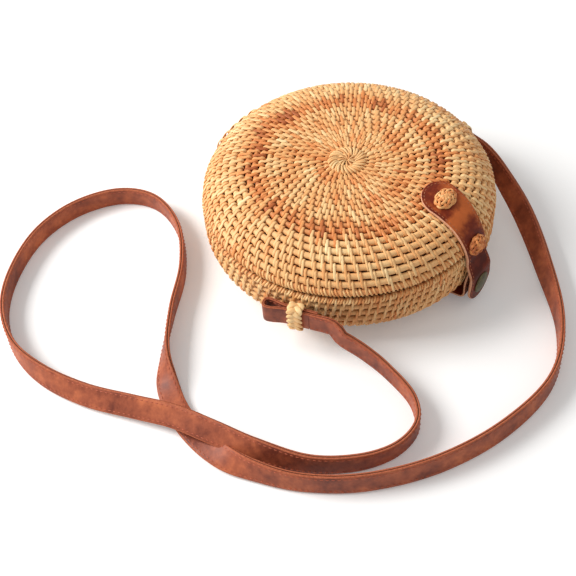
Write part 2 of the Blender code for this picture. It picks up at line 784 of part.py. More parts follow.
def strap_ring(name, side):
    """Woven ring tied to the lower shell, a band round the two limbs of the strap's eye."""
    data = bpy.data.curves.new(name, "CURVE")
    data.dimensions = "2D"
    data.fill_mode = "BOTH"
    data.extrude = RING_HALF_LENGTH
    outer = (RING_HALF_DEPTH + RING_WALL, RING_HALF_RISE + RING_WALL)
    closed_spline(data, chamfered(*outer, RING_CORNER))
    closed_spline(data, chamfered(RING_HALF_DEPTH, RING_HALF_RISE, FIT_GAP))
    item = place(bpy.data.objects.new(name, data), RATTAN)
    centre, _, outwards = ring_frame(side)
    up = Vector((0, 0, 1))
    turn = Matrix((outwards, up, outwards.cross(up))).transposed()
    item.matrix_world = Matrix.Translation(centre) @ turn.to_4x4()
    return item


def band_section(name, width, thickness):
    """Guide outline of a flat band, upright, for the curves that follow it."""
    data = bpy.data.curves.new(name, "CURVE")
    data.dimensions = "2D"
    data.fill_mode = "NONE"
    closed_spline(data, chamfered(thickness / 2, width / 2, STRAP_EDGE_ROUND)[::-1])
    guide = bpy.data.objects.new(name, data)
    guide.hide_render = True
    guide.display_type = "WIRE"
    CUTTERS.objects.link(guide)
    return guide


def band(name, points, tilts, section):
    """A flat leather band along points, upright where its tilt is zero."""
    data = bpy.data.curves.new(name, "CURVE")
    data.dimensions = "3D"
    data.twist_mode = "Z_UP"
    data.bevel_mode = "OBJECT"
    data.bevel_object = section
    data.use_fill_caps = True
    spline = data.splines.new("POLY")
    spline.points.add(len(points) - 1)
    for point, position, tilt in zip(spline.points, points, tilts):
        point.co = (*position, 1)
        point.tilt = tilt
    return place(bpy.data.objects.new(name, data), LEATHER)


def strap_eye(name, side, section):
    """The strap's end, folded back on itself through the ring into a small eye."""
    centre, to_clasp, outwards = ring_frame(side)
    start = -RING_HALF_LENGTH
    limb = [(STRAP_START - FIT_GAP, LIMB_OFFSET)]
    for share, opening in EYE_OPENING_SHARES:
        limb.append((start - EYE_REACH * share, LIMB_OFFSET + EYE_HALF_OPENING * opening))
    limb.append((start - EYE_REACH, LIMB_OFFSET))
    back = [(reach, -offset) for reach, offset in reversed(limb[1:])]
    outline = limb + back + [(TAIL_REACH, -LIMB_OFFSET)]
    points = [centre + to_clasp * reach + outwards * offset for reach, offset in outline]
    return band(name, points, [0] * len(points), section)


def rest_height(lean):
    """Height of a leaning strap's middle when its lower edge lies on the table."""
    upright = STRAP_WIDTH / 2 * math.cos(lean)
    return upright + STRAP_THICKNESS / 2 * abs(math.sin(lean)) + FIT_GAP


def strap_stops():
    """All stops of the strap's way: x, y, z and lean, with its ends at the rings."""
    stops = []
    ends = []
    for side in (-1, 1):
        centre, to_clasp, outwards = ring_frame(side)
        for reach in (STRAP_START, STRAP_START + STRAP_WIDTH):
            ends.append((*(centre + to_clasp * reach + outwards * LIMB_OFFSET), 0))
    for across, along_y, lift, lean in STRAP_ROUTE:
        turn = math.radians(lean)
        stops.append((across, along_y, rest_height(turn) + lift, turn))
    return [ends[0], ends[1]] + stops + [ends[3], ends[2]]


def smooth(stops, per_stop):
    """Points on one smooth curve through all stops."""
    rows = [Vector(stop) for stop in stops]
    first = rows[0] * 2 - rows[1]
    last = rows[-1] * 2 - rows[-2]
    rows = [first] + rows + [last]
    points = []
    for a, b, c, d in zip(rows, rows[1:], rows[2:], rows[3:]):
        for step in range(per_stop):
            t = step / per_stop
            point = 2 * b + (c - a) * t + (2 * a - 5 * b + 4 * c - d) * t ** 2
            points.append((point + (3 * b - a - 3 * c + d) * t ** 3) / 2)
    return points + [rows[-2]]


def evenly(points, count):
    """Resample a curve of x, y, z and lean to evenly spaced points."""
    places = [tuple(point[:3]) for point in points]
    total = lengths(places)
    chosen = []
    for step in range(count):
        wanted = total[-1] * step / (count - 1)
        index = next((i for i, reach in enumerate(total) if reach >= wanted), len(total) - 1)
        index = max(index, 1)
        share = (wanted - total[index - 1]) / (total[index] - total[index - 1])
        chosen.append(points[index - 1].lerp(points[index], min(share, 1)))
    return chosen


def shoulder_strap(section):
    """The long strap from ring to ring, laid over the table."""
    route = evenly(smooth(strap_stops(), STRAP_POINTS_PER_STOP), STRAP_POINTS)
    length = lengths([tuple(point[:3]) for point in route])[-1]
    print("strap length, metres:", round(length, 4))
    places = [point[:3] for point in route]
    return band("shoulder_strap", places, [point[3] for point in route], section)


clear_scene()
PARTS = collection("rattan_bag")
CUTTERS = collection("guides")
LID_EMPTY = pivot("lid_pivot", LID_PIVOT)
FLAP_EMPTY = pivot("flap_pivot", FLAP_PIVOT)
hang_on(FLAP_EMPTY, LID_EMPTY)

lower_shell()
rim_coil("lower_rim_coil", BASE_TOP - ROD_RADIUS, 0)
lower_lining()
hinge_lacing_lower()
catch_tab()
catch_knot()
snap_stud()
snap_rivet()
STRAP_SECTION = band_section("strap_section", STRAP_WIDTH, STRAP_THICKNESS)
EYE_SECTION = band_section("eye_section", STRAP_WIDTH, EYE_THICKNESS)
for label, side in (("front", -1), ("back", 1)):
    strap_ring("strap_ring_" + label, side)
    strap_eye("strap_eye_" + label, side, EYE_SECTION)
shoulder_strap(STRAP_SECTION)

for lid_piece in (
        upper_shell(), rim_coil("upper_rim_coil", LID_BOTTOM + ROD_RADIUS, LID_RIM_INSET), upper_lining(),
        hinge_lacing_upper(), flap_anchor(),
        knot_on_lid("flap_knot_upper", UPPER_KNOT_SHIFT, UPPER_KNOT_RADIUS,
                    UPPER_KNOT_HALF_WIDTH, UPPER_KNOT_HALF_LENGTH),
        knot_on_lid("flap_knot_lower", FLAP_END_SHIFT, dome_radius(LOWER_KNOT_ABOVE_RIM),
                    LOWER_KNOT_HALF_WIDTH, LOWER_KNOT_HALF_LENGTH)):
    hang_on(lid_piece, LID_EMPTY)

for flap_piece in (flap_tongue(), snap_cap(), snap_socket()):
    hang_on(flap_piece, FLAP_EMPTY)
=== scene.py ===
"""Looks of the round rattan shoulder bag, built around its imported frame.

Metres, +Z up, in the frame of the CAD part: the origin is the middle of the base, the
clasp faces -Y and the lacing hinge is at +Y.
"""

import math
import random

import bpy
import numpy as np
from mathutils import Matrix, Vector


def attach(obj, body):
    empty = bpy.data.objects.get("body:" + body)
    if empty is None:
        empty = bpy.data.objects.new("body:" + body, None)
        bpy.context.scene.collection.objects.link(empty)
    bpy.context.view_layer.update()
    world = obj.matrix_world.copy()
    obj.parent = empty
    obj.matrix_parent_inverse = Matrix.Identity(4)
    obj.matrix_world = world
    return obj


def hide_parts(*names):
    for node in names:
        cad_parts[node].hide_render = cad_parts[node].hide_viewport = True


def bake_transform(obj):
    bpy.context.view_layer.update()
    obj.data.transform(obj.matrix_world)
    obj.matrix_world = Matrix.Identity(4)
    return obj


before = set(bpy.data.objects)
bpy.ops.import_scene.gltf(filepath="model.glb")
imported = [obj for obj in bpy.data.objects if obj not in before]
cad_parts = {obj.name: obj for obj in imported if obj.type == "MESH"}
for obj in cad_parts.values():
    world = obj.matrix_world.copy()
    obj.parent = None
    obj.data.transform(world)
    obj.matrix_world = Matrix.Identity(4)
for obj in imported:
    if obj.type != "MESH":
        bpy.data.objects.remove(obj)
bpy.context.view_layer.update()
RANDOM = random.Random(7)
MM = 0.001
TURN = 2 * math.pi
QUARTER = math.pi / 2
UP = np.array((0.0, 0.0, 1.0))

# Sizes shared with the part's source
BAG_RADIUS = 0.100
SEAM_HEIGHT = 0.0437
FIT_GAP = 0.0003
LID_RISE = 0.0250
WALL = 0.005
CORNER_REACH = 0.034
CORNER_HEIGHT = 0.024
DOME_SPREAD = 8.0
DOME_ROUNDNESS = 1.3
FLAP_THICKNESS = 0.0020
FLAP_TOP_RADIUS = 0.0565
FLAP_TOP_SHIFT = 0.0050
FLAP_END_SHIFT = -0.0015
FLAP_BEND_HEIGHT = SEAM_HEIGHT + FIT_GAP / 2 - 0.0022
FLAP_LOBE = 0.0140
FLAP_END = 0.0130
FLAP_WAIST = 0.0108
SNAP_HEIGHT = 0.0170
TONGUE_CENTRE = 0.1061
TAB_CENTRE = 0.1016
TAB_THICKNESS = 0.0014
STRAP_WIDTH = 0.0150
STRAP_THICKNESS = 0.0030
EYE_THICKNESS = 0.0018
RING_ANGLE = math.radians(73)
RING_HEIGHT = 0.0290
RING_CENTRE = 0.10525
LIMB_OFFSET = 0.00135
RING_HALF_LENGTH = 0.0052
RING_HALF_DEPTH = 0.00255
RING_HALF_RISE = 0.0078
STRAP_START = 0.0093
TAIL_REACH = 0.0140
EYE_REACH = 0.0165
EYE_HALF_OPENING = 0.0020

# The strap's way over the table: x, y, lift above its rest height and lean in degrees
STRAP_ROUTE = (
    (-0.0945, -0.0620, 0.0150, 0),
    (-0.0922, -0.0770, 0.0092, 0),
    (-0.0925, -0.0950, 0.0035, 0),
    (-0.0990, -0.1175, 0.0, 0),
    (-0.1135, -0.1298, 0.0, 0),
    (-0.1340, -0.1285, 0.0, 0),
    (-0.1545, -0.1150, 0.0, -5),
    (-0.1725, -0.0910, 0.0, -12),
    (-0.1840, -0.0600, 0.0030, -35),
    (-0.1895, -0.0320, 0.0046, -50),
    (-0.1945, -0.0060, 0.0046, -50),
    (-0.2030, 0.0200, 0.0024, -45),
    (-0.2135, 0.0530, 0.0, -40),
    (-0.2185, 0.0860, 0.0, -25),
    (-0.2140, 0.1165, 0.0, -5),
    (-0.1970, 0.1445, 0.0, 0),
    (-0.1700, 0.1640, 0.0, 0),
    (-0.1350, 0.1755, 0.0, 0),
    (-0.1010, 0.1720, 0.0, 0),
    (-0.0730, 0.1540, 0.0, 0),
    (-0.0625, 0.1270, 0.0, 0),
    (-0.0735, 0.0955, 0.0, 0),
    (-0.1000, 0.0690, 0.0, 0),
    (-0.1330, 0.0500, 0.0, 5),
    (-0.1620, 0.0305, 0.0, 25),
    (-0.1800, 0.0110, 0.0, 78),
    (-0.1912, -0.0130, 0.0, 87),
    (-0.1965, -0.0400, 0.0, 70),
    (-0.1945, -0.0660, 0.0, 25),
    (-0.1840, -0.0960, 0.0, 10),
    (-0.1620, -0.1265, 0.0, 10),
    (-0.1270, -0.1545, 0.0, 12),
    (-0.0840, -0.1735, 0.0, 12),
    (-0.0380, -0.1795, 0.0, 5),
    (0.0030, -0.1640, 0.0, -5),
    (0.0420, -0.1300, 0.0020, -30),
    (0.0700, -0.0990, 0.0080, -42),
    (0.0880, -0.0700, 0.0150, -22),
)


def linear(red, green, blue):
    """A screen colour of 0 to 255 as a linear shader colour."""
    shares = [channel / 255 for channel in (red, green, blue)]
    return (*(s / 12.92 if s <= 0.04045 else ((s + 0.055) / 1.055) ** 2.4 for s in shares), 1.0)


# Materials
class Nodes:
    """A node tree with short calls for what the finishes here use."""

    def __init__(self, owner):
        owner.use_nodes = True
        self.owner = owner
        self.tree = owner.node_tree

    def feed(self, socket, value):
        """Give a socket a plain value or another node's output."""
        if isinstance(value, bpy.types.NodeSocket):
            self.tree.links.new(value, socket)
        else:
            socket.default_value = value

    def add(self, kind, inputs, output, **settings):
        """One output of a new node, its inputs fed by name or number."""
        node = self.tree.nodes.new(kind)
        for key, value in settings.items():
            setattr(node, key, value)
        for key, value in inputs.items():
            self.feed(node.inputs[key], value)
        return node.outputs[output]

    def place(self):
        return self.add("ShaderNodeTexCoord", {}, "Object")

    def attribute(self, name, output):
        return self.add("ShaderNodeAttribute", {}, output, attribute_name=name)

    def noise(self, vector, scale, detail=2.0, rough=0.5):
        inputs = {"Vector": vector, "Scale": scale, "Detail": detail, "Roughness": rough}
        return self.add("ShaderNodeTexNoise", inputs, "Fac")

    def math(self, operation, *values):
        return self.add("ShaderNodeMath", dict(enumerate(values)), 0, operation=operation)

    def centred(self, value, amount):
        """A noise of 0 to 1 as a swing to both sides of zero."""
        return self.math("MULTIPLY", self.math("SUBTRACT", value, 0.5), amount)

    def ramp(self, factor, *stops):
        node = self.tree.nodes.new("ShaderNodeValToRGB")
        elements = node.color_ramp.elements
        while len(elements) < len(stops):
            elements.new(1.0)
        for element, (position, colour) in zip(elements, stops):
            element.position = position
            element.color = colour
        self.feed(node.inputs["Fac"], factor)
        return node.outputs["Color"]

    def mixed(self, factor, first, second):
        return self.add("ShaderNodeMix", {0: factor, 6: first, 7: second}, 2, data_type="RGBA")

    def bump(self, height, strength, distance):
        inputs = {"Height": height, "Strength": strength, "Distance": distance}
        return self.add("ShaderNodeBump", inputs, "Normal")

    def directly_seen(self):
        """1 for what a camera, glossy or transmission ray meets, else 0."""
        camera, glossy, through = (self.add("ShaderNodeLightPath", {}, "Is " + kind + " Ray")
                                   for kind in ("Camera", "Glossy", "Transmission"))
        return self.math("MAXIMUM", self.math("MAXIMUM", camera, glossy), through)

    def finished(self, inputs):
        """The material, with its shader's inputs fed by name."""
        for key, value in inputs.items():
            self.feed(self.tree.nodes["Principled BSDF"].inputs[key], value)
        return self.owner


def cane_material(name, tones, roughness):
    """Split or round cane: tone from the mesh, streaks along the fibre, a soft gloss."""
    n = Nodes(bpy.data.materials.new(name))
    stretched = {"Vector": n.attribute("fibre", "Vector"), "Scale": (90, 2600, 1)}
    streaks = n.noise(n.add("ShaderNodeMapping", stretched, "Vector"), scale=1.0, detail=3.0, rough=0.6)
    blotches = n.noise(n.place(), scale=60.0, detail=4.0, rough=0.66)
    shade = n.math("ADD", n.attribute("tone", "Fac"), n.centred(streaks, 0.34))
    stops = [(index / (len(tones) - 1), linear(*tone)) for index, tone in enumerate(tones)]
    return n.finished({
        "Base Color": n.ramp(n.math("ADD", shade, n.centred(blotches, 0.55)), *stops),
        "Roughness": n.math("MULTIPLY_ADD", streaks, 0.2, roughness),
        "Normal": n.bump(streaks, 0.25, 0.3 * MM),
        "Specular IOR Level": 0.40,
    })


def painted_shade_sheet_material():
    """Painted shade: a dark brown sheet that stands for the shadowed inside of the coil, seen between its
    rows.
    """
    n = Nodes(bpy.data.materials.new("cane_shadow"))
    patches = n.noise(n.place(), scale=240.0)
    return n.finished({
        "Base Color": n.ramp(patches, (0.3, linear(62, 24, 9)), (0.7, linear(100, 46, 20))),
        "Roughness": 0.9,
        "Specular IOR Level": 0.1,
    })


def leather_material(name, dark, middle, light, roughness=0.42, specular=0.30):
    """Smooth pull-up cowhide: cloudy tone, fine pores and soft creases."""
    n = Nodes(bpy.data.materials.new(name))
    place = n.place()
    clouds = n.noise(place, scale=38.0, detail=4.0, rough=0.62)
    mottle = n.noise(place, scale=170.0, detail=3.0, rough=0.6)
    creases = n.noise(place, scale=260.0, detail=3.0, rough=0.65)
    pores = n.add("ShaderNodeTexVoronoi", {"Vector": place, "Scale": 1500.0}, "Distance",
                  feature="DISTANCE_TO_EDGE")
    shade = n.math("ADD", clouds, n.math("SUBTRACT", n.attribute("tone", "Fac"), 0.5))
    shade = n.math("ADD", shade, n.centred(mottle, 0.45))
    surface = n.bump(pores, 0.35, 0.12 * MM)
    n.feed(surface.node.inputs["Normal"], n.bump(creases, 0.35, 0.5 * MM))
    tones = n.ramp(shade, (0.28, dark), (0.5, middle), (0.74, light))
    return n.finished({
        "Base Color": n.mixed(n.math("MULTIPLY", creases, 0.35), tones, dark),
        "Roughness": n.math("MULTIPLY_ADD", clouds, 0.25, roughness - 0.12),
        "Normal": surface,
        "Specular IOR Level": specular,
    })


def edge_material(name, pale, deep):
    """A cut leather edge: fibrous, pale, with darker burnished patches."""
    n = Nodes(bpy.data.materials.new(name))
    fibres = n.noise(n.place(), scale=900.0, detail=3.0, rough=0.7)
    clouds = n.noise(n.place(), scale=70.0)
    tones = n.ramp(fibres, (0.3, deep), (0.7, pale))
    return n.finished({
        "Base Color": n.mixed(n.math("MULTIPLY", clouds, 0.55), tones, deep),
        "Roughness": 0.75,
        "Normal": n.bump(fibres, 0.5, 0.2 * MM),
        "Specular IOR Level": 0.25,
    })


def thread_material(name, colour):
    """Waxed thread with a twist."""
    n = Nodes(bpy.data.materials.new(name))
    twist = n.noise(n.place(), scale=2600.0)
    shadow = (*(channel * 0.6 for channel in colour[:3]), 1.0)
    return n.finished({
        "Base Color": n.mixed(n.math("MULTIPLY", twist, 0.5), colour, shadow),
        "Roughness": 0.6,
        "Normal": n.bump(twist, 0.5, 0.1 * MM),
    })


def metal_material(name, dark, light):
    """Antique brass, rubbed brighter in cloudy patches."""
    n = Nodes(bpy.data.materials.new(name))
    clouds = n.noise(n.place(), scale=420.0, detail=4.0, rough=0.7)
    return n.finished({
        "Base Color": n.ramp(clouds, (0.3, dark), (0.72, light)),
        "Roughness": n.math("MULTIPLY_ADD", clouds, 0.25, 0.30),
        "Metallic": 1.0,
        "Normal": n.bump(clouds, 0.2, 0.2 * MM),
    })


def cloth_material(name, pale, deep):
    """Plain woven cotton: warp and weft as fine crossed waves."""
    n = Nodes(bpy.data.materials.new(name))
    place = n.place()
    waves = {"Vector": place, "Scale": 420.0, "Distortion": 0.8}
    warp, weft, rise = (n.add("ShaderNodeTexWave", waves, "Fac", bands_direction=way) for way in "XYZ")
    weave = n.math("ADD", n.math("MULTIPLY", warp, weft), n.math("MULTIPLY", rise, 0.5))
    clouds = n.mixed(n.noise(place, scale=30.0, detail=3.0), pale, deep)
    return n.finished({
        "Base Color": n.mixed(n.math("MULTIPLY", weave, 0.6), clouds, deep),
        "Roughness": 0.9,
        "Sheen Weight": 0.2,
        "Normal": n.bump(weave, 0.4, 0.3 * MM),
        "Specular IOR Level": 0.15,
    })


STRAND_TONES = ((250, 222, 168), (241, 198, 139), (234, 173, 109), (226, 141, 76), (168, 86, 38))
ROD_TONES = ((252, 222, 168), (244, 199, 138), (231, 168, 106), (208, 129, 72), (160, 80, 44))
STRAND = cane_material("cane_strand", STRAND_TONES, 0.42)
ROD = cane_material("cane_rod", ROD_TONES, 0.46)
# Dark brown painted shade, for the gaps between the coil's rows and under the knots' cane
PAINTED_SHADE_SHEET = painted_shade_sheet_material()
FLAP_LEATHER = leather_material(
    "flap_leather", linear(74, 20, 7), linear(124, 43, 17), linear(210, 108, 52), 0.44, 0.16)
STRAP_LEATHER = leather_material(
    "strap_leather", linear(108, 48, 32), linear(166, 86, 56), linear(214, 120, 76), 0.5)
FLAP_EDGE = edge_material("flap_edge", linear(240, 196, 160), linear(196, 128, 92))
STRAP_EDGE = edge_material("strap_edge", linear(206, 122, 86), linear(152, 74, 46))
PLY_LINE = edge_material("ply_line", linear(96, 48, 26), linear(60, 28, 14))
FLAP_THREAD = thread_material("flap_thread", linear(176, 104, 64))
STRAP_THREAD = thread_material("strap_thread", linear(186, 92, 60))
SNAP_METAL = metal_material("antique_brass", linear(70, 66, 44), linear(122, 116, 84))
SNAP_METAL_BRIGHT = metal_material("worn_brass", linear(120, 104, 66), linear(190, 170, 116))
COTTON = cloth_material("cotton_lining", linear(226, 208, 172), linear(196, 172, 130))
LINING_THREAD = thread_material("lining_thread", linear(210, 190, 150))


# Mesh building. A stitch on leather, from end to end: how far it stands out and how thick it is
STITCH_SINK = (-0.9, 0.25, 0.55, 0.25, -0.9)
STITCH_SWELL = (0.6, 1, 1.05, 1, 0.6)
STITCH_HEIGHT = 0.8


def linked(name, data):
    """A new object in the scene."""
    piece = bpy.data.objects.new(name, data)
    bpy.context.scene.collection.objects.link(piece)
    return piece


class Batch:
    """Vertices, faces and their tone, fibre and material for one piece."""

    def __init__(self):
        self.points, self.tones, self.fibres, self.faces, self.slots = [], [], [], [], []
        self.count = 0

    def loft(self, rows, closed, tone=0.3, fibre=None, slot=0, capped=True, looped=False):
        """Join rows of points into a skin. slot is one number, or one for each column."""
        rows = np.asarray(rows, float)
        length, width = rows.shape[:2]
        first = self.count
        self.points.append(rows.reshape(-1, 3))
        self.tones.append(np.broadcast_to(tone, (length, width)).ravel())
        self.fibres.append(np.zeros((length * width, 3)) if fibre is None else fibre.reshape(-1, 3))
        self.count += length * width
        slots = [slot] * width if isinstance(slot, int) else slot
        for i in range(length if looped else length - 1):
            below = first + i * width
            above = first + (i + 1) % length * width
            for j in range(width if closed else width - 1):
                k = (j + 1) % width
                self.faces.append((below + j, above + j, above + k, below + k))
                self.slots.append(slots[j])
        if capped and closed and not looped:
            self.faces.append(tuple(range(first, first + width)))
            self.faces.append(tuple(range(self.count - 1, self.count - width - 1, -1)))
            self.slots += [slots[0], slots[0]]

    def make(self, name, materials, body, slot, nodes=(), sharp=None):
        """The finished piece, riding on its body. Edges over sharp degrees stay sharp."""
        data = bpy.data.meshes.new(name)
        data.from_pydata(np.concatenate(self.points).tolist(), [], self.faces)
        for material in materials:
            data.materials.append(material)
        data.polygons.foreach_set("material_index", np.array(self.slots, np.int32))
        for key, kind, field, values in (("tone", "FLOAT", "value", self.tones),
                                         ("fibre", "FLOAT_VECTOR", "vector", self.fibres)):
            layer = data.attributes.new(key, kind, "POINT").data
            layer.foreach_set(field, np.concatenate(values).astype(np.float32).ravel())
        data.shade_smooth()
        if sharp is not None:
            data.set_sharp_from_angle(angle=math.radians(sharp))
        data.update()
        piece = linked(name, data)
        if body:
            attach(piece, body)
        if nodes:
            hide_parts(*nodes)
        return piece


def unit(vectors):
    """Vectors scaled to length one."""
    return vectors / np.maximum(np.linalg.norm(vectors, axis=-1, keepdims=True), 1e-12)


def tangents(points):
    """Direction of a path at each of its points."""
    return unit(np.gradient(np.asarray(points, float), axis=0))


def ways_out(line, upward=1):
    """Direction across a flat line at each of its points, on the side that upward picks."""
    along = tangents(line)
    return np.stack((-along[:, 1], along[:, 0]), axis=1) * upward


def reaches(points):
    """Distance along a path at each of its points."""
    steps = np.linalg.norm(np.diff(points, axis=0), axis=1)
    return np.concatenate(([0.0], np.cumsum(steps)))


def resampled(points, wanted, values=None):
    """A path's points, or values given along it, at the wanted distances from its start."""
    total = reaches(points)
    columns = np.asarray(points if values is None else values, float).T
    return np.stack([np.interp(wanted, total, column) for column in columns], axis=-1)


def evenly(points, count):
    """A path's points in equal steps of its length."""
    return resampled(points, np.linspace(0, reaches(points)[-1], count))


def circle(count):
    """Equal turns once round, without the end."""
    return np.linspace(0, TURN, count, endpoint=False)


def turned(radius, height, turn):
    """Places by radius, height and turn about the upright axis."""
    return np.stack(np.broadcast_arrays(radius * np.cos(turn), radius * np.sin(turn), height), axis=-1)


def oval(half_width, half_height, turns, power=1.0):
    """Places round a flattened circle, squarer for powers under one."""
    halves = ((half_width, np.cos(turns)), (half_height, np.sin(turns)))
    return np.stack([half * np.sign(wave) * np.abs(wave) ** power for half, wave in halves], axis=1)


def ellipse(half_width, half_height, count, power=1.0):
    """An oval as a section, starting at the underside."""
    return oval(half_width, half_height, circle(count) - QUARTER, power)


def spread(points, side, up, section, wide, high):
    """Places of a section's side and up offsets, scaled by wide and high, at each point of a path."""
    return (points[:, None] + side[:, None] * (section[:, 0] * wide)[..., None]
            + up[:, None] * (section[:, 1] * high)[..., None])


def swept(batch, points, ups, section, tone, looped=False, scale=1.0, offset=None):
    """Sweep a section of side and up offsets along a path. scale is one number for each point, or two."""
    if looped:
        along = tangents(np.vstack((points[-2:], points, points[:2])))[2:-2]
    else:
        along = tangents(points)
    side = unit(np.cross(along, ups))
    up = np.cross(side, along)
    section = np.asarray(section, float)
    scale = np.atleast_1d(scale)
    scale = scale.reshape(len(scale), -1)
    rows = spread(points, side, up, section, scale[:, :1], scale[:, -1:])
    seed = RANDOM.random() * 50 if offset is None else offset
    fibre = np.full(rows.shape, float(seed))
    fibre[..., 0] += reaches(points)[:, None]
    fibre[..., 1] += np.linspace(0, 1, len(section)) * np.ptp(section[:, 0]) * 2
    batch.loft(rows, True, tone, fibre, looped=looped)


def stitching(name, seams, pitch, length, radius, material, body, slot):
    """A piece of separate stitches along seams. Each seam is its line and its way out of the leather."""
    thread = Batch()
    section = ellipse(radius, radius * STITCH_HEIGHT, 6)
    sink = np.array(STITCH_SINK)[:, None] * radius
    for line, outs in seams:
        total = reaches(line)[-1]
        count = int(total / pitch)
        for centre in (np.arange(count) + 0.5) * total / count:
            spots = np.linspace(centre - length / 2, centre + length / 2, 5)
            ups = unit(resampled(line, spots, outs))
            swept(thread, resampled(line, spots) + ups * sink, ups, section, 0.3, scale=STITCH_SWELL)
    return thread.make(name, [material], body, slot)


# The coiled bowls: rods, strands and the rows they make
STRAND_THICKNESS = 0.00066
STRAND_LIFT = 0.25
STRAND_SECTION = np.array(((-1, -0.5), (1, -0.5), (0.86, 0.22), (0.42, 0.5), (-0.42, 0.5), (-0.86, 0.22)))
ROD_HEIGHT = 0.0020
ROD_DEPTH = ROD_HEIGHT + STRAND_THICKNESS * (1 + STRAND_LIFT)
ROD_SQUARENESS = 0.95
ROD_POINTS = 110
ROD_START = 0.10
ROD_GROWTH = 0.8
ROD_END_TAPER = 0.10
RIM_POINTS = 220
SEAM_GROOVE = 0.0006
INNER_PITCH = 0.00475
INNER_ROWS = 14
INNER_ROD = 0.00174
LID_OUTER_ROWS = 7
LID_OUTER_ROD = 0.00212
BOWL_OUTER_ROWS = 10
BOWL_OUTER_ROD = 0.00168
SPIRAL_ROWS = 2
LEVELLING_ROWS = 5
STEP_START = 0.84
STEP_TURN = math.radians(90)
# How far below the rod line the sheet of painted shade lies
SHADE_SHEET_DEPTH = 0.0014

# How the stitches stand: even on most sides, in close pairs on the near side's outer rows
FIRST_STITCHED_ROW = 3
NEAR_SIDE = math.radians(-138)
NEAR_SPREAD = math.radians(52)
OUTER_START = 0.055
OUTER_EASE = 0.020
EVEN_SHARE = 0.47
PAIRED_SHARE = 0.28
GAP_EVENING = 0.30
START_SCATTER = 0.12
STITCH_SCATTER = 0.00025
STITCH_LEAN = 0.13
STITCH_ANGLES = (56, 30, 6)
STITCH_END = 80
RIM_STITCH_END = 150
MIDDLE_DIP = 0.00050
WIDEST_IN_GAP = 0.48
FAR_WIDENING = 0.10
FAR_OUTER_WIDENING = 0.22
PAIRED_WRAPS = (0.36, 0.68)
SINGLE_WRAP = (0.52,)
PAIRED_WRAPS_FROM = 0.45
WRAP_WIDTH = 0.8
WRAP_LEAN = 0.0011
WRAP_LIFT = 0.6
COUNT_REACHES = (0.012, 0.020, 0.030, 0.045, 0.060, 0.075, 0.090, 0.108, 0.130)
LID_COUNTS = (26, 34, 42, 54, 64, 72, 78, 84, 88)
BOWL_COUNTS = (26, 34, 44, 58, 72, 84, 94, 102, 106)
WIDTH_REACHES = (0.015, 0.055, 0.085, 0.105)
WIDTHS = (0.00215, 0.00225, 0.00185, 0.00172)
WIDTH_SCATTER = 0.06

# The middle's two fans: count, reaches and heights in mm, width in mm and where they are full
CENTRE_FANS = (
    (11, (0.4, 1.4, 2.8, 4.4, 5.8, 6.6), (2.3, 2.9, 3.0, 2.9, 2.6, 2.1), 1.9, 6.2),
    (27, (4.2, 5.6, 7.2, 9.0, 10.6, 12.0, 13.0), (1.5, 2.4, 2.9, 3.1, 3.1, 2.6, 1.2), 1.75, 9.0),
)
FAN_SCATTER = 0.18
FAN_RISE_SCATTER = 0.2
FAN_SWIRL = 0.06
FAN_THICKNESS = STRAND_THICKNESS * 1.5
FAN_TIP = 0.30

# Tones from 0, pale, to 1, dark: rings by reach, waves and patches of side in degrees, reach and depth
ZONE_REACHES = (0.0, 0.006, 0.012, 0.017, 0.022, 0.027, 0.034, 0.041, 0.050,
                0.055, 0.060, 0.066, 0.070, 0.076, 0.100, 0.112, 0.140)
ZONE_TONES = (0.62, 0.42, 0.46, 0.62, 0.58, 0.44, 0.50, 0.58, 0.42,
              0.50, 0.78, 0.76, 0.46, 0.38, 0.48, 0.50, 0.44)
WAVES = ((5, -110, 1.3), (11, 190, 0.4))
WAVE_DEPTH = 0.03
PATCHES = ((-30, 0.037, 0.20), (118, 0.068, 0.26), (-62, 0.061, 0.16), (182, 0.060, 0.12),
           (150, 0.019, 0.10), (-110, 0.041, 0.14), (85, 0.061, 0.10))
PATCH_TURN = math.radians(26)
PATCH_REACH = 0.005

# Tones added to those: of the rods, and the mean and scatter of stitches, wraps and fans
ROD_TONE = -0.06
RIM_TONE = 0.12
STITCH_TONE = (-0.04, 0.11)
STITCH_TONE_INSET = 0.0015
WRAP_TONE = (-0.02, 0.10)
FAN_TONE = (0, 0.07)
FAN_TONE_REACH = 0.006


def dome_height(radius):
    """Height of the lid's outer face above the seam."""
    reach = np.minimum(np.asarray(radius, float) / BAG_RADIUS, 1)
    return LID_RISE * (1 - reach ** DOME_SPREAD) ** (1 / DOME_ROUNDNESS)


def dome_radius(height):
    """Radius of the lid's outer face at a height above the seam."""
    rise = np.maximum(height, 0) / LID_RISE
    return BAG_RADIUS * (1 - rise ** DOME_ROUNDNESS) ** (1 / DOME_SPREAD)


def lid_face():
    """The lid's outer face from the axis to the seam, as radius and height."""
    radius = dome_radius(LID_RISE * np.cos(np.linspace(0, QUARTER, 900)[1:]))
    radius = np.concatenate((np.linspace(0, radius[0], 300)[:-1], radius))
    return np.stack((radius, SEAM_HEIGHT + dome_height(radius)), axis=1)


def bowl_face():
    """The lower bowl's outer face from the axis to the seam."""
    centre = BAG_RADIUS - CORNER_REACH
    turns = np.linspace(QUARTER, 0, 300)
    corner = np.stack((centre + CORNER_REACH * np.cos(turns), CORNER_HEIGHT * (1 - np.sin(turns))), axis=1)
    base = np.stack((np.linspace(0, centre, 300)[:-1], np.zeros(299)), axis=1)
    wall = np.stack((np.full(60, BAG_RADIUS), np.linspace(CORNER_HEIGHT, SEAM_HEIGHT, 61)[1:]), axis=1)
    return np.vstack((base, corner, wall))


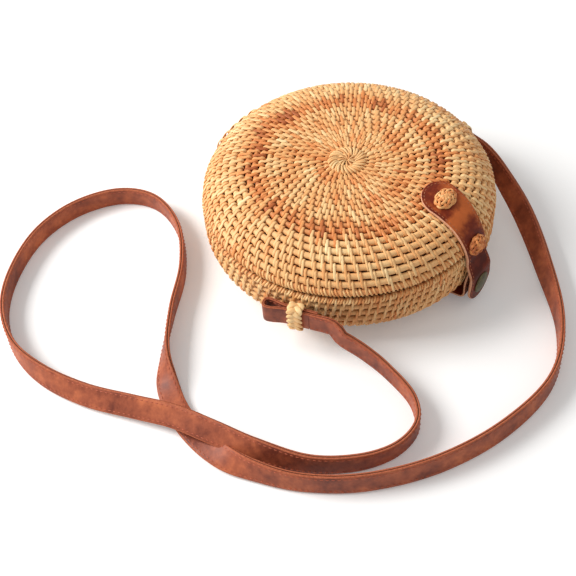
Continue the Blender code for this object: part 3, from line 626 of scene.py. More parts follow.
class Meridian:
    """A bowl's rod line from the axis outwards: place and way out by distance along it."""

    def __init__(self, face, upward, outer_rows, outer_rod):
        face = evenly(face, 900)
        self.normal = ways_out(face, upward)
        self.line = face - self.normal * ROD_DEPTH
        self.line[:, 0] = np.maximum(self.line[:, 0], 0)
        self.reach = reaches(self.line)
        rim = (FIT_GAP / 2 + outer_rod + STRAND_THICKNESS + SEAM_GROOVE) * upward + SEAM_HEIGHT
        self.last = float(np.interp(0, (rim - self.line[:, 1]) * upward, self.reach))
        self.rows = INNER_ROWS + outer_rows
        inner = INNER_PITCH * np.arange(INNER_ROWS)
        self.grid = np.concatenate((inner, np.linspace(INNER_PITCH * INNER_ROWS, self.last, outer_rows + 1)))
        self.outer_rod = outer_rod

    def row(self, rows):
        """Distance from the axis by rows."""
        return np.interp(rows, np.arange(self.rows + 1), self.grid)

    def rod(self, distance):
        """Half width of the rod at a distance from the axis."""
        edge = self.grid[INNER_ROWS]
        return np.interp(distance, (edge, edge + self.grid[-1] - self.grid[-2]), (INNER_ROD, self.outer_rod))

    def radius(self, distance):
        """Distance from the axis, measured straight, of a place along the line."""
        return float(np.interp(distance, self.reach, self.line[:, 0]))

    def at(self, distance, height, turn):
        """Place above the rod line by distance from the axis, height above it and turn."""
        radius, level, out, up = (np.interp(distance, self.reach, column)
                                  for column in (*self.line.T, *self.normal.T))
        over = np.maximum(distance - self.reach[-1], 0)
        end = unit(self.line[-1] - self.line[-2])
        return turned(radius + over * end[0] + height * out, level + over * end[1] + height * up, turn)

    def outs(self, distance, turn, height=MM):
        """Way out of the bowl at a place."""
        return unit(self.at(distance, height, turn) - self.at(distance, height - MM, turn))


def row_place(turns):
    """The coil's distance from the centre in rows after a number of turns: a spiral near the centre
    that becomes level rows with one short step each, like a coil that is evened out."""
    whole = np.floor(turns)
    part = turns - whole
    ease = np.clip((part - STEP_START) / (1 - STEP_START), 0, 1)
    ease = ease * ease * (3 - 2 * ease)
    level = np.clip((whole - SPIRAL_ROWS) / LEVELLING_ROWS, 0, 1)
    return whole + part * (1 - level) + ease * level


def tone_at(distance, turn, shift):
    """How dark the cane is by place: pale centre, orange rings, straw sides and soft patches."""
    tone = np.interp(distance, ZONE_REACHES, ZONE_TONES) + shift
    for sides, reach, start in WAVES:
        tone = tone + WAVE_DEPTH * np.sin(sides * turn + reach * distance + start)
    for side, reach, depth in PATCHES:
        away = np.angle(np.exp(1j * (turn - math.radians(side)))) / PATCH_TURN
        tone = tone + depth * np.exp(-away ** 2 - ((distance - reach) / PATCH_REACH) ** 2)
    return np.clip(tone, 0, 1)


def nearness(turn):
    """How near a place is to the side where the stitches stand in close pairs, from 0 to 1."""
    away = (turn - NEAR_SIDE + math.pi) % TURN - math.pi
    return math.exp(-(away / NEAR_SPREAD) ** 2)


def outerness(distance):
    """How far a place is into the outer rows, from 0 to 1."""
    return min(max((distance - OUTER_START) / OUTER_EASE, 0), 1)


def stitch_turns(meridian, counts):
    """Where the stitches of each row stand. Each stitch is set beside the one in the row before,
    and more are added in the widest gaps as the rows grow."""
    rows = []
    turns = []
    for row in range(FIRST_STITCHED_ROW, meridian.rows + 1):
        reach = float(meridian.row(row))
        count = round(float(np.interp(reach, COUNT_REACHES, counts)))
        step = TURN / max(len(turns), 1)
        turns = [turn + step * (EVEN_SHARE + (PAIRED_SHARE - EVEN_SHARE) * nearness(turn) * outerness(reach))
                 for turn in turns]
        if not turns:
            turns = [TURN * (i + RANDOM.uniform(-START_SCATTER, START_SCATTER)) / count for i in range(count)]
        while len(turns) < count:
            turns.sort()
            wide, start = max((b - a, a) for a, b in zip(turns, turns[1:] + [turns[0] + TURN]))
            turns.append(start + wide / 2)
        turns.sort()
        ring = [turns[-1] - TURN] + turns + [turns[0] + TURN]
        turns = sorted(turn + GAP_EVENING * ((before + after) / 2 - turn)
                       + RANDOM.gauss(0, STITCH_SCATTER) / meridian.radius(reach)
                       for before, turn, after in zip(ring, ring[1:], ring[2:]))
        rows.append((row, turns))
    return rows


def strand(batch, places, outs, width, thickness, tone, taper=1.0, looped=False):
    """One flat split cane along a path, its round side outwards."""
    swept(batch, places, outs, STRAND_SECTION * (width / 2, thickness), tone, looped, taper)


def long_stitch(batch, meridian, upper, lower, turn, width, lift, tone, upper_end):
    """A stitch from the gap outside the upper rod to the gap inside the lower one."""
    over = STRAND_THICKNESS * (0.5 + lift)
    first = np.radians((upper_end, *STITCH_ANGLES))
    last = np.radians((STITCH_END, *STITCH_ANGLES))[::-1]
    top = ROD_HEIGHT + over
    middle = (upper + lower) / 2
    distance = np.concatenate((upper + (meridian.rod(upper) + over) * np.sin(first), [middle],
                               lower - (meridian.rod(lower) + over) * np.sin(last)))
    height = np.concatenate((top * np.cos(first), [top - MIDDLE_DIP], top * np.cos(last)))
    turns = turn + STITCH_LEAN / meridian.radius(middle) * (distance - lower)
    strand(batch, meridian.at(distance, height, turns), meridian.outs(distance, turns, height), width,
           STRAND_THICKNESS, tone)


def full_wrap(batch, meridian, reach, turn, width, tone):
    """A stitch right round the rim's rod, leaning along it."""
    over = STRAND_THICKNESS * WRAP_LIFT
    turns = circle(16)
    spots = turn + WRAP_LEAN / meridian.radius(reach) * np.sin(turns)
    distance = reach + (meridian.rod(reach) + over) * np.sin(turns)
    places = meridian.at(distance, (ROD_HEIGHT + over) * np.cos(turns), spots)
    outs = unit(places - meridian.at(reach, 0, spots))
    strand(batch, places, outs, width, STRAND_THICKNESS, tone, looped=True)


def rods(batch, meridian):
    """The coil's rod from the centre to the row before the rim, and the rim's own ring."""
    section = ellipse(1, 1, 12, ROD_SQUARENESS)
    turns = np.arange(ROD_START, meridian.rows - 1 + STEP_START, 1 / ROD_POINTS)
    taper = np.clip((turns[-1] - turns) / ROD_END_TAPER, 0.25, 1)
    taper = taper * np.clip(0.45 + (turns - turns[0]) / ROD_GROWTH, 0.45, 1)
    angle = STEP_TURN + TURN * (turns - (1 + STEP_START) / 2)
    coil = (meridian.row(row_place(turns)), angle, taper, ROD_TONE, False, 3.0)
    rim = (np.full(RIM_POINTS, meridian.last), circle(RIM_POINTS), 1.0, RIM_TONE, True, 9.0)
    for distance, angle, size, tone, looped, offset in (coil, rim):
        scale = np.stack(np.broadcast_arrays(size * meridian.rod(distance), size * ROD_HEIGHT), axis=1)
        swept(batch, meridian.at(distance, 0, angle), meridian.outs(distance, angle), section,
              tone_at(distance, angle, tone)[:, None], looped, scale, offset)


def centre_strands(batch, meridian):
    """The strands that start the coil: two fans that swirl out of the middle, one over the other."""
    for count, spots, rises, width, full in CENTRE_FANS:
        reach = np.array(spots) * MM
        for index in range(count):
            turn = TURN * (index + RANDOM.uniform(-FAN_SCATTER, FAN_SCATTER)) / count
            height = (np.array(rises) + RANDOM.uniform(0, FAN_RISE_SCATTER)) * MM
            sweep = turn + FAN_SWIRL * reach / MM
            tone = float(tone_at(FAN_TONE_REACH, turn, RANDOM.gauss(*FAN_TONE)))
            strand(batch, meridian.at(reach, height, sweep), meridian.outs(reach, sweep, height),
                   width * MM, FAN_THICKNESS, tone, np.clip(reach / MM / full, FAN_TIP, 1))


def stitches(batch, meridian, counts):
    """All binding strands of a bowl."""
    centre_strands(batch, meridian)
    for row, turns in stitch_turns(meridian, counts):
        last = row == meridian.rows
        for index, turn in enumerate(turns):
            gap = (turns[(index + 1) % len(turns)] - turn) % TURN
            part = ((turn - STEP_TURN) / TURN + (1 + STEP_START) / 2) % 1
            ended = part >= STEP_START
            if row == meridian.rows - 1 and ended:
                continue
            upper = float(meridian.row(row if last else row_place(row + part)))
            lower = float(meridian.row(row_place(row - (2 if last and ended else 1) + part)))
            near = nearness(turn)
            width = float(np.interp(upper, WIDTH_REACHES, WIDTHS)) * RANDOM.gauss(1, WIDTH_SCATTER)
            width *= 1 + (1 - near) * (FAR_WIDENING + FAR_OUTER_WIDENING * outerness(upper))
            width = min(width, WIDEST_IN_GAP * gap * meridian.radius(upper))
            tone = float(tone_at(upper - STITCH_TONE_INSET, turn, RANDOM.gauss(*STITCH_TONE)))
            lift = RANDOM.uniform(0.0, STRAND_LIFT)
            long_stitch(batch, meridian, upper, lower, turn, width, lift, tone,
                        RIM_STITCH_END if last else STITCH_END)
            wraps = PAIRED_WRAPS if near > PAIRED_WRAPS_FROM else SINGLE_WRAP
            for share in wraps if last else ():
                tone = float(tone_at(upper, turn, RANDOM.gauss(*WRAP_TONE)))
                full_wrap(batch, meridian, upper, turn + share * gap, width * WRAP_WIDTH, tone)


def coiled_bowl(name, meridian, counts, body, nodes):
    """One bowl: rods and a dark sheet of painted shade behind them as one piece, binding strands as another.
    """
    coil = Batch()
    rods(coil, meridian)
    distance = np.linspace(0.2 * MM, meridian.last - MM, 60)
    # A dark sheet of painted shade behind the rods, seen in the gaps between rows
    coil.loft([meridian.at(distance, -SHADE_SHEET_DEPTH, turn) for turn in circle(120)], False, slot=1, looped=True)
    coil.make(name + "_coil", [ROD, PAINTED_SHADE_SHEET], body, "rattan", nodes)
    binding = Batch()
    stitches(binding, meridian, counts)
    binding.make(name + "_binding", [STRAND], body, "rattan")


# Camera at the photograph's viewing angle, and light from the upper left and behind
CAMERA_PLACE = Vector((-0.4000, -0.28613, 0.5369))
CAMERA_FORWARD = Vector((0.47894, 0.41634, -0.77283))
CAMERA_UP = Vector((0.63796, 0.43968, 0.63222))
CAMERA_LENS = 63.54
WORLD_LIGHT = 0.50
SEEN_WORLD_LIGHT = 1.0
KEY_PLACE = Vector((-0.70, 1.15, 1.10))
KEY_AIM = Vector((0, 0, 0.03))
KEY_SIZE = 0.8
KEY_POWER = 32.0
FLOOR_REACH = 6.0
FLOOR_DROP = 0.0002
FLOOR_COLOUR = (0.93, 0.925, 0.91, 1)
FLOOR_GLOW = 0.13
WHITE = (1, 1, 1, 1)


def add_camera():
    """Camera at the photograph's angle."""
    data = bpy.data.cameras.new("camera")
    data.lens = CAMERA_LENS
    data.clip_start = 0.01
    camera = linked("camera", data)
    right = CAMERA_FORWARD.cross(CAMERA_UP).normalized()
    up = right.cross(CAMERA_FORWARD).normalized()
    turn = Matrix((right, up, -CAMERA_FORWARD)).transposed()
    camera.matrix_world = Matrix.Translation(CAMERA_PLACE) @ turn.to_4x4()
    bpy.context.scene.camera = camera


def studio():
    """White surroundings, brighter to the eye than they light, and one soft light."""
    scene = bpy.context.scene
    scene.view_settings.view_transform = "Standard"
    scene.world = bpy.data.worlds.new("studio")
    n = Nodes(scene.world)
    lit = n.tree.nodes["Background"]
    n.feed(lit.inputs["Color"], WHITE)
    n.feed(lit.inputs["Strength"], WORLD_LIGHT)
    seen = n.add("ShaderNodeBackground", {"Strength": SEEN_WORLD_LIGHT}, 0)
    mix = n.add("ShaderNodeMixShader", {0: n.directly_seen(), 1: lit.outputs[0], 2: seen}, 0)
    n.feed(n.tree.nodes["World Output"].inputs[0], mix)
    data = bpy.data.lights.new("key", "AREA")
    data.size = KEY_SIZE
    data.energy = KEY_POWER
    light = linked("key", data)
    light.location = KEY_PLACE
    light.rotation_euler = (KEY_AIM - KEY_PLACE).to_track_quat("-Z", "Y").to_euler()


def floor():
    """Pale table top that takes the shadow."""
    data = bpy.data.meshes.new("floor")
    corners = [(x * FLOOR_REACH, y * FLOOR_REACH, 0) for x, y in ((-1, -1), (1, -1), (1, 1), (-1, 1))]
    data.from_pydata(corners, [], [(0, 1, 2, 3)])
    piece = linked("floor", data)
    piece.location.z = -FLOOR_DROP
    n = Nodes(bpy.data.materials.new("table_top"))
    data.materials.append(n.finished({
        "Base Color": FLOOR_COLOUR,
        "Roughness": 0.9,
        "Specular IOR Level": 0.0,
        "Emission Color": WHITE,
        "Emission Strength": n.math("MULTIPLY", n.directly_seen(), FLOOR_GLOW),
    }))


# The strap
STRAP_POINTS_PER_STOP = 12
STRAP_POINTS = 420
STRAP_SOFTNESS = 0.0007
PLY_GROOVE = 0.00022
SKIVED_LENGTH = 0.014
SEAM_INSET = 0.0021
STRAP_PITCH = 0.0034
STRAP_STITCH = 0.0025
LONG_THREAD = 0.00028


def rest_height(lean):
    """Height of a leaning strap's middle when its lower edge lies on the table."""
    upright = STRAP_WIDTH / 2 * math.cos(lean)
    return upright + STRAP_THICKNESS / 2 * abs(math.sin(lean)) + FIT_GAP


def ring_frame(side):
    """A ring's centre, its way towards the clasp and its way out of the bag."""
    outwards = np.array((side * math.sin(RING_ANGLE), -math.cos(RING_ANGLE), 0))
    to_clasp = np.array((-side * math.cos(RING_ANGLE), -math.sin(RING_ANGLE), 0))
    return outwards * RING_CENTRE + UP * RING_HEIGHT, to_clasp, outwards


def strap_stops():
    """All stops of the strap's way: x, y, z and lean, with its ends at the rings."""
    ends = []
    for side in (-1, 1):
        centre, to_clasp, outwards = ring_frame(side)
        for reach in (STRAP_START, STRAP_START + STRAP_WIDTH):
            ends.append((*(centre + to_clasp * reach + outwards * LIMB_OFFSET), 0))
    stops = []
    for across, along, lift, lean in STRAP_ROUTE:
        turn = math.radians(lean)
        stops.append((across, along, rest_height(turn) + lift, turn))
    return [ends[0], ends[1]] + stops + [ends[3], ends[2]]


def smooth(stops, per_stop):
    """Points on one smooth curve through all stops."""
    rows = [np.array(stop, float) for stop in stops]
    rows = [2 * rows[0] - rows[1]] + rows + [2 * rows[-1] - rows[-2]]
    points = []
    for a, b, c, d in zip(rows, rows[1:], rows[2:], rows[3:]):
        for step in range(per_stop):
            t = step / per_stop
            points.append((2 * b + (c - a) * t + (2 * a - 5 * b + 4 * c - d) * t ** 2
                           + (3 * b - a - 3 * c + d) * t ** 3) / 2)
    return np.array(points + [rows[-2]])


def strap_section():
    """Outline of the two-ply strap: across its thickness and up its height, with soft edges and a
    groove between the plies, and the material number of each side."""
    half, rise = STRAP_THICKNESS / 2, STRAP_WIDTH / 2
    soft, groove = STRAP_SOFTNESS, PLY_GROOVE
    face = [(half, y) for y in np.linspace(-rise + soft, rise - soft, 7)]
    lip = [(half * 0.88, rise - soft * 0.35), (half * 0.60, rise - soft * 0.06),
           (groove * 1.2, rise - soft * 0.2)]
    bottom = [(0.0, rise - soft * 0.2 - groove * 1.6)]
    right = face + lip + bottom + [(-x, y) for x, y in lip[::-1]]
    slots = [0] * 6 + [1, 1, 1, 2, 2, 1, 1, 1]
    return np.array(right + [(-x, -y) for x, y in right]), slots + slots


def strap_piece(name, seam_name, route, thickness, faces, thread, node):
    """A length of strap along a route of x, y, z and lean: its leather, and stitches on the given faces."""
    line = route[:, :3]
    along = tangents(line)
    left = unit(np.cross(UP, along))
    lean = route[:, 3:]
    up = np.cross(along, left) * np.cos(lean) + left * np.sin(lean)
    side = unit(np.cross(along, up))
    section, slots = strap_section()
    rows = spread(line, side, up, section, thickness[:, None] / STRAP_THICKNESS, 1)
    batch = Batch()
    batch.loft(rows, True, 0.5, slot=slots)
    leather = batch.make(name, [STRAP_LEATHER, STRAP_EDGE, PLY_LINE], "base", "leather", (node,), sharp=50)
    inset = STRAP_WIDTH / 2 - SEAM_INSET
    seams = [(line + side * face * (thickness / 2)[:, None] + up * edge * inset, side * face)
             for face in faces for edge in (-1, 1)]
    return leather, stitching(seam_name, seams, STRAP_PITCH, STRAP_STITCH, thread, STRAP_THREAD, "base",
                              "leather")


def shoulder_strap():
    """The long strap, with its ends skived thinner."""
    fine = smooth(strap_stops(), STRAP_POINTS_PER_STOP)
    total = reaches(fine[:, :3])[-1]
    wanted = np.linspace(0, total, STRAP_POINTS)
    route = resampled(fine[:, :3], wanted, fine)
    ease = np.clip(np.minimum(wanted, total - wanted) / SKIVED_LENGTH, 0, 1)
    skived = EYE_THICKNESS + (STRAP_THICKNESS - EYE_THICKNESS) * ease
    strap, seams = strap_piece("shoulder_strap_leather", "shoulder_strap_stitching", route, skived, (-1, 1),
                               LONG_THREAD, "shoulder_strap")


# The strap's eyes, and the rings and knots woven from flat cane
EYE_ENTRY = 0.004
EYE_SWELL = ((0.3, 0.3), (0.6, 0.85), (0.82, 1.0))
EYE_END_RADIUS = 0.0022
EYE_END_HALF = 0.0032
EYE_POINTS = 150
EYE_THREAD = 0.00026
BOX_SQUARENESS = 0.32
BOX_STEP = 0.0016
RING_LEADS = 3
RING_BIGHTS = 11
RING_STEPS = 150
RING_CANE_LIFT = 0.00125
RING_EDGE = 0.0016
RING_WEAVE = 0.00060
RING_CANE = (0.0018, 0.00075)
KNOT_LEADS = 5
KNOT_BIGHTS = 8
KNOT_STEPS = 130
KNOT_SLOPE = 51
KNOT_SWING = 33
KNOT_CROSSINGS = (0.5, 1.5, 2.6)
KNOT_CROSSING_SLOPE = 40
# Slopes of the knot's dark sheet of painted shade under its cane
KNOT_SHADE_SHEET_SLOPES = (84, 60, 35, 12)
KNOT_CANE_HEIGHT = 0.24


def strap_eye(node, side):
    """The strap's end, folded through its ring into a small eye, with its tail beside the strap."""
    centre, to_clasp, outwards = ring_frame(side)
    start = -RING_HALF_LENGTH
    stops = [(STRAP_START - FIT_GAP, LIMB_OFFSET), (EYE_ENTRY, LIMB_OFFSET), (start, LIMB_OFFSET)]
    for share, opening in EYE_SWELL:
        stops.append((start - EYE_REACH * share, LIMB_OFFSET + EYE_HALF_OPENING * opening))
    for turn in np.radians((55, 20, -20, -55)):
        reach = start - EYE_REACH + EYE_END_RADIUS * (1 - math.cos(turn))
        stops.append((reach, EYE_END_HALF * math.sin(turn)))
    stops += [(reach, -offset) for reach, offset in reversed(stops[:6])]
    stops[-1] = (TAIL_REACH, -LIMB_OFFSET)
    flat = evenly(smooth(stops, 10), EYE_POINTS)
    places = centre + flat @ np.array((to_clasp, outwards))
    route = np.hstack((places, np.zeros((EYE_POINTS, 1))))
    name = node + "_leather"
    strap_piece(name, name + "_stitching", route, np.full(EYE_POINTS, EYE_THICKNESS), (1,), EYE_THREAD, node)


def rounded_box(turns, half_width, half_height):
    """Places round a rounded box by equal steps of its outline, and its way out there."""
    outline = oval(half_width, half_height, np.linspace(0, TURN, 721), BOX_SQUARENESS)
    total = reaches(outline)[-1]
    share = turns / TURN * total
    spot, before, after = (resampled(outline, place)
                           for place in (share, (share - BOX_STEP) % total, (share + BOX_STEP) % total))
    way = unit(after - before)
    return spot, np.stack((way[:, 1], -way[:, 0]), axis=1)


def strap_ring(node, side):
    """A woven ring round the two limbs of the strap's eye."""
    centre, to_clasp, outwards = ring_frame(side)
    turns = circle(RING_STEPS * RING_LEADS) * RING_LEADS
    phase = RING_BIGHTS * turns / RING_LEADS
    spot, way = rounded_box(turns % TURN, RING_HALF_DEPTH + RING_CANE_LIFT, RING_HALF_RISE + RING_CANE_LIFT)
    axes = np.array((outwards, UP))
    out = way @ axes
    across = ((RING_HALF_LENGTH - RING_EDGE) * np.cos(phase))[:, None] * to_clasp
    places = centre + spot @ axes + across + out * (RING_WEAVE * np.sin(2 * phase))[:, None]
    tones = 0.22 + 0.10 * np.sin(turns * 1.7)
    batch = Batch()
    swept(batch, places, out, ellipse(*RING_CANE, 10), tones[:, None], looped=True)
    batch.make(node + "_cane", [STRAND], "base", "rattan", (node,))


def button_knot(node, across, foot, halves, sizes, tone, body):
    """A woven button of flat cane. foot is where it stands: radius, height and way out. sizes are its
    rise and the width of its cane."""
    radius, height, normal = foot
    rise, ribbon = sizes
    up = np.array((0.0, -normal[0], normal[1]))
    side = np.array((1.0, 0.0, 0.0))
    axes = np.array((side, np.cross(up, side), up))
    centre = np.array((across, -radius, height))
    inner = np.array(halves) * (1 - ribbon * 0.42 / halves[1])
    top = rise - ribbon * 0.28
    section = ellipse(ribbon / 2, ribbon * KNOT_CANE_HEIGHT, 8)

    def dome(turns, slope):
        """Places on the knot by turn and by slope in degrees from its top, and their way out."""
        slope = np.radians(slope)
        flat = turned(np.sin(slope), np.cos(slope), turns) * (*inner, top)
        places = centre + flat @ axes
        return places, unit(places - (centre - up * rise * 0.6))

    batch = Batch()
    turns = circle(KNOT_STEPS * KNOT_LEADS) * KNOT_LEADS
    phase = KNOT_BIGHTS * turns / KNOT_LEADS
    places, outs = dome(turns, KNOT_SLOPE + KNOT_SWING * np.cos(phase))
    places = places + outs * (ribbon * 0.22 * np.sin((KNOT_LEADS - 1) * phase))[:, None]
    swept(batch, places, outs, section, (tone + 0.14 * np.sin(turns * 2.3))[:, None], looped=True)
    reach = np.linspace(-1, 1, 13)
    for start in KNOT_CROSSINGS:
        places, outs = dome(np.where(reach < 0, start + math.pi, start), np.abs(reach) * KNOT_CROSSING_SLOPE)
        swept(batch, places + outs * ribbon * 0.12 * (1 - np.abs(reach))[:, None], outs, section, tone)
    # A dark sheet of painted shade under the cane, seen between its ribbons
    rows = [dome(circle(40), slope)[0] - up * ribbon * 0.30 for slope in KNOT_SHADE_SHEET_SLOPES]
    batch.loft(rows, True, 0.9, slot=1)
    batch.make(node + "_cane", [STRAND, PAINTED_SHADE_SHEET], body, "rattan", (node,))


# The flap and the catch tab: rims by inset and rise, and the flap's half widths by share of its length
PLATE_INSETS = (0.0, 0.00010, 0.00035, 0.00080, 0.00150, 0.00205, 0.00260, 0.00340)
PLATE_TOPS = (0.0, 0.62, 0.90, 1.0, 1.0, 0.86, 1.0, 1.03)
PLATE_UNDERSIDES = (0.0, 0.72, 1.0, 1.0, 1.0, 0.96, 1.0, 1.0)
PLATE_MIDDLE = 1.05
PLATE_SHARES = np.linspace(-1, 1, 9)[1:-1]
PLATE_CAP_STEPS = 14
PLATE_SEAM_INSET = 0.00205
FLAP_SHAPE = ((0.0, FLAP_LOBE), (0.14, FLAP_LOBE), (0.24, 0.0134), (0.36, 0.0120), (0.50, 0.0110),
              (0.62, FLAP_WAIST), (0.74, 0.0115), (0.84, 0.0125), (1.0, FLAP_END))
FLAP_HUG = 1.9
FLAP_FOOT = SNAP_HEIGHT + 0.0082
FLAP_THREAD_SIZES = (0.0029, 0.0020, 0.00024)
FLAP_TONE = 0.48
# Painted light on the flap's tone: a highlight where it bends over the lid's edge, and painted shade towards
# its end
FLAP_BEND_HIGHLIGHT = (0.31, 0.040, 0.34)
FLAP_WORN = (0.010, 0.002, 0.12)
FLAP_SHADE = (0.40, 0.2, 0.14)
TAB_HALF_WIDTH = 0.0115
TAB_HUG = 1.2
TAB_TOP = SEAM_HEIGHT - 0.0125
TAB_FOOT = SNAP_HEIGHT - 0.0045
TAB_TOUCH = math.radians(50)
TAB_UNDER = 0.0160
TAB_TONE = 0.45
TAB_THREAD_SIZES = (0.0031, 0.0022, 0.00028)


class Plate:
    """A leather strip with round ends across X, along a path of radius towards -Y and height."""

    def __init__(self, path, half_widths, shifts, thickness, hug):
        self.path = path
        self.columns = np.column_stack((path, ways_out(path), shifts))
        self.half_widths = half_widths
        self.thickness = thickness
        self.hug = hug

    def outline(self, inset):
        """Half width and distance along, from tip to tip, of the outline set in by inset."""
        length = reaches(self.path)[-1]
        spots, sizes = np.array(self.half_widths).T
        first, last = sizes[0], sizes[-1]
        turns = np.linspace(0, QUARTER, PLATE_CAP_STEPS)
        middle = np.linspace(first, length - last, 46)[1:-1]
        sides = np.interp(middle, spots * length, sizes) - inset
        width = np.concatenate(((first - inset) * np.sin(turns), sides, (last - inset) * np.sin(turns[::-1])))
        reach = np.concatenate((first - (first - inset) * np.cos(turns), middle,
                                length - last + (last - inset) * np.cos(turns[::-1])))
        return width, reach

    def place(self, across, reach, lift):
        """Point by place across, distance along and lift from the middle of the leather."""
        values = resampled(self.path, reach, self.columns)
        spot = values[:, :2] + unit(values[:, 2:4]) * (lift - self.hug * across ** 2)[:, None]
        return np.stack((across + values[:, 4], -spot[:, 0], spot[:, 1]), axis=-1)

    def make(self, name, tone, body, nodes, thread_sizes):
        """The strip's leather, whose tone goes by place across and along, and its stitching."""
        half = self.thickness / 2
        inner_width, inner_reach = self.outline(PLATE_INSETS[-1])
        middle = [(inner_width * share, inner_reach, PLATE_MIDDLE) for share in PLATE_SHARES]
        columns = []
        for face, rises in ((1, PLATE_TOPS), (-1, PLATE_UNDERSIDES)):
            rims = [(*self.outline(inset), rise) for inset, rise in zip(PLATE_INSETS, rises)]
            row = [(-width, reach, rise) for width, reach, rise in rims] + middle + rims[::-1]
            row = row if face == 1 else row[::-1][1:-1]
            columns += [(width, reach, rise * half * face) for width, reach, rise in row]
        columns.reverse()
        places = np.stack([self.place(*column) for column in columns], axis=1)
        tones = np.stack([tone(width, reach) for width, reach, _ in columns], axis=1)
        # The columns next to the rims show the cut edge, the others the grain
        grain = [0] * (len(columns) // 2 - 4)
        batch = Batch()
        batch.loft(places, True, tones, slot=[1] + grain + [1] * 4 + grain + [1] * 3, capped=False)
        leather = batch.make(name + "_leather", [FLAP_LEATHER, FLAP_EDGE], body, "leather", nodes, sharp=60)
        width, reach = self.outline(PLATE_SEAM_INSET)
        across = np.concatenate((width, -width[::-1][1:]))
        reach = np.concatenate((reach, reach[::-1][1:]))
        line = self.place(across, reach, half * 0.90)
        seams = [(line, unit(line - self.place(across, reach, 0)))]
        return leather, stitching(name + "_stitching", seams, *thread_sizes, FLAP_THREAD, body, "leather")


def dome_point(radius, lift):
    """Point on the lid's face, raised from it, and its way out."""
    step = 0.02 * MM
    slope = float((dome_height(radius - step) - dome_height(radius + step)) / (2 * step))
    normal = (slope / math.hypot(slope, 1), 1 / math.hypot(slope, 1))
    return radius + lift * normal[0], SEAM_HEIGHT + float(dome_height(radius)) + lift * normal[1], normal


def corner_point(turn, lift):
    """Point on the lower shell's corner, raised from it, and its way out."""
    across = math.cos(turn) / CORNER_REACH
    down = math.sin(turn) / CORNER_HEIGHT
    norm = math.hypot(across, down)
    normal = (across / norm, -down / norm)
    radius = BAG_RADIUS - CORNER_REACH + CORNER_REACH * math.cos(turn) + lift * normal[0]
    return radius, CORNER_HEIGHT * (1 - math.sin(turn)) + lift * normal[1], normal


def flap_path():
    """The flap's middle from its top, down the lid's front and straight over the snap."""
    offset = FIT_GAP + FLAP_THICKNESS / 2
    radius = FLAP_TOP_RADIUS + (BAG_RADIUS - FLAP_TOP_RADIUS) * np.sin(np.linspace(0, QUARTER, 120))
    path = [dome_point(spot, offset)[:2] for spot in radius[:-1]]
    start = BAG_RADIUS + offset
    path.append((start, SEAM_HEIGHT))
    for share in np.linspace(0, 1, 16):
        ease = (1 - math.cos(math.pi * share)) / 2
        path.append((start + (TONGUE_CENTRE - start) * ease,
                     FLAP_BEND_HEIGHT + (FLAP_FOOT - FLAP_BEND_HEIGHT) * share))
    path.append((TONGUE_CENTRE, SNAP_HEIGHT - FLAP_END))
    return evenly(path, 160)


def leather_flap():
    """The flap as one piece of leather that bends where it leaves the lid."""
    path = flap_path()
    reach = reaches(path)
    bend = reach[np.argmax(path[:, 1] < FLAP_BEND_HEIGHT)]
    ease = (1 - np.cos(math.pi * np.clip(reach / bend, 0, 1))) / 2
    shifts = FLAP_TOP_SHIFT + (FLAP_END_SHIFT - FLAP_TOP_SHIFT) * ease

    def tone(width, along):
        """Paler with a painted highlight where the leather bends over the lid's edge, paler where it is worn
        beside the seam, and darker towards the end with painted shade.
        """
        share = along / reach[-1]
        pale = FLAP_TONE
        for value, (middle, breadth, height) in ((share, FLAP_BEND_HIGHLIGHT), (np.abs(width), FLAP_WORN)):
            pale = pale + height * np.exp(-((value - middle) / breadth) ** 2)
        start, breadth, depth = FLAP_SHADE
        return pale - depth * np.clip((share - start) / breadth, 0, 1)

    plate = Plate(path, FLAP_SHAPE, shifts, FLAP_THICKNESS, FLAP_HUG)
    for piece in plate.make("flap", tone, None, ("flap_anchor", "flap_tongue"), FLAP_THREAD_SIZES):
        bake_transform(piece)


def catch_tab():
    """The leather tab behind the flap's end, which carries the stud."""
    offset = FIT_GAP + TAB_THICKNESS / 2
    radius, height, normal = corner_point(TAB_TOUCH, offset)
    handle = math.hypot(TAB_CENTRE - radius, TAB_FOOT - height) / 2
    corners = np.array(((TAB_CENTRE, TAB_FOOT), (TAB_CENTRE, TAB_FOOT - handle),
                        (radius - handle * normal[1], height + handle * normal[0]), (radius, height)))
    path = [(TAB_CENTRE, TAB_TOP)]
    for share in np.linspace(0, 1, 25):
        rest = 1 - share
        path.append(np.array((rest ** 3, 3 * rest ** 2 * share, 3 * rest * share ** 2, share ** 3)) @ corners)
    total = 0.0
    turn = TAB_TOUCH
    while total < TAB_UNDER:
        turn += math.radians(2)
        path.append(corner_point(turn, offset)[:2])
        total += math.dist(path[-1], path[-2])
    shape = ((0.0, TAB_HALF_WIDTH), (1.0, TAB_HALF_WIDTH))
    plate = Plate(evenly(path, 90), shape, np.full(90, FLAP_END_SHIFT), TAB_THICKNESS, TAB_HUG)
    plate.make("catch_tab", lambda width, along: np.full(len(width), TAB_TONE), "base", ("catch_tab",),
               TAB_THREAD_SIZES)


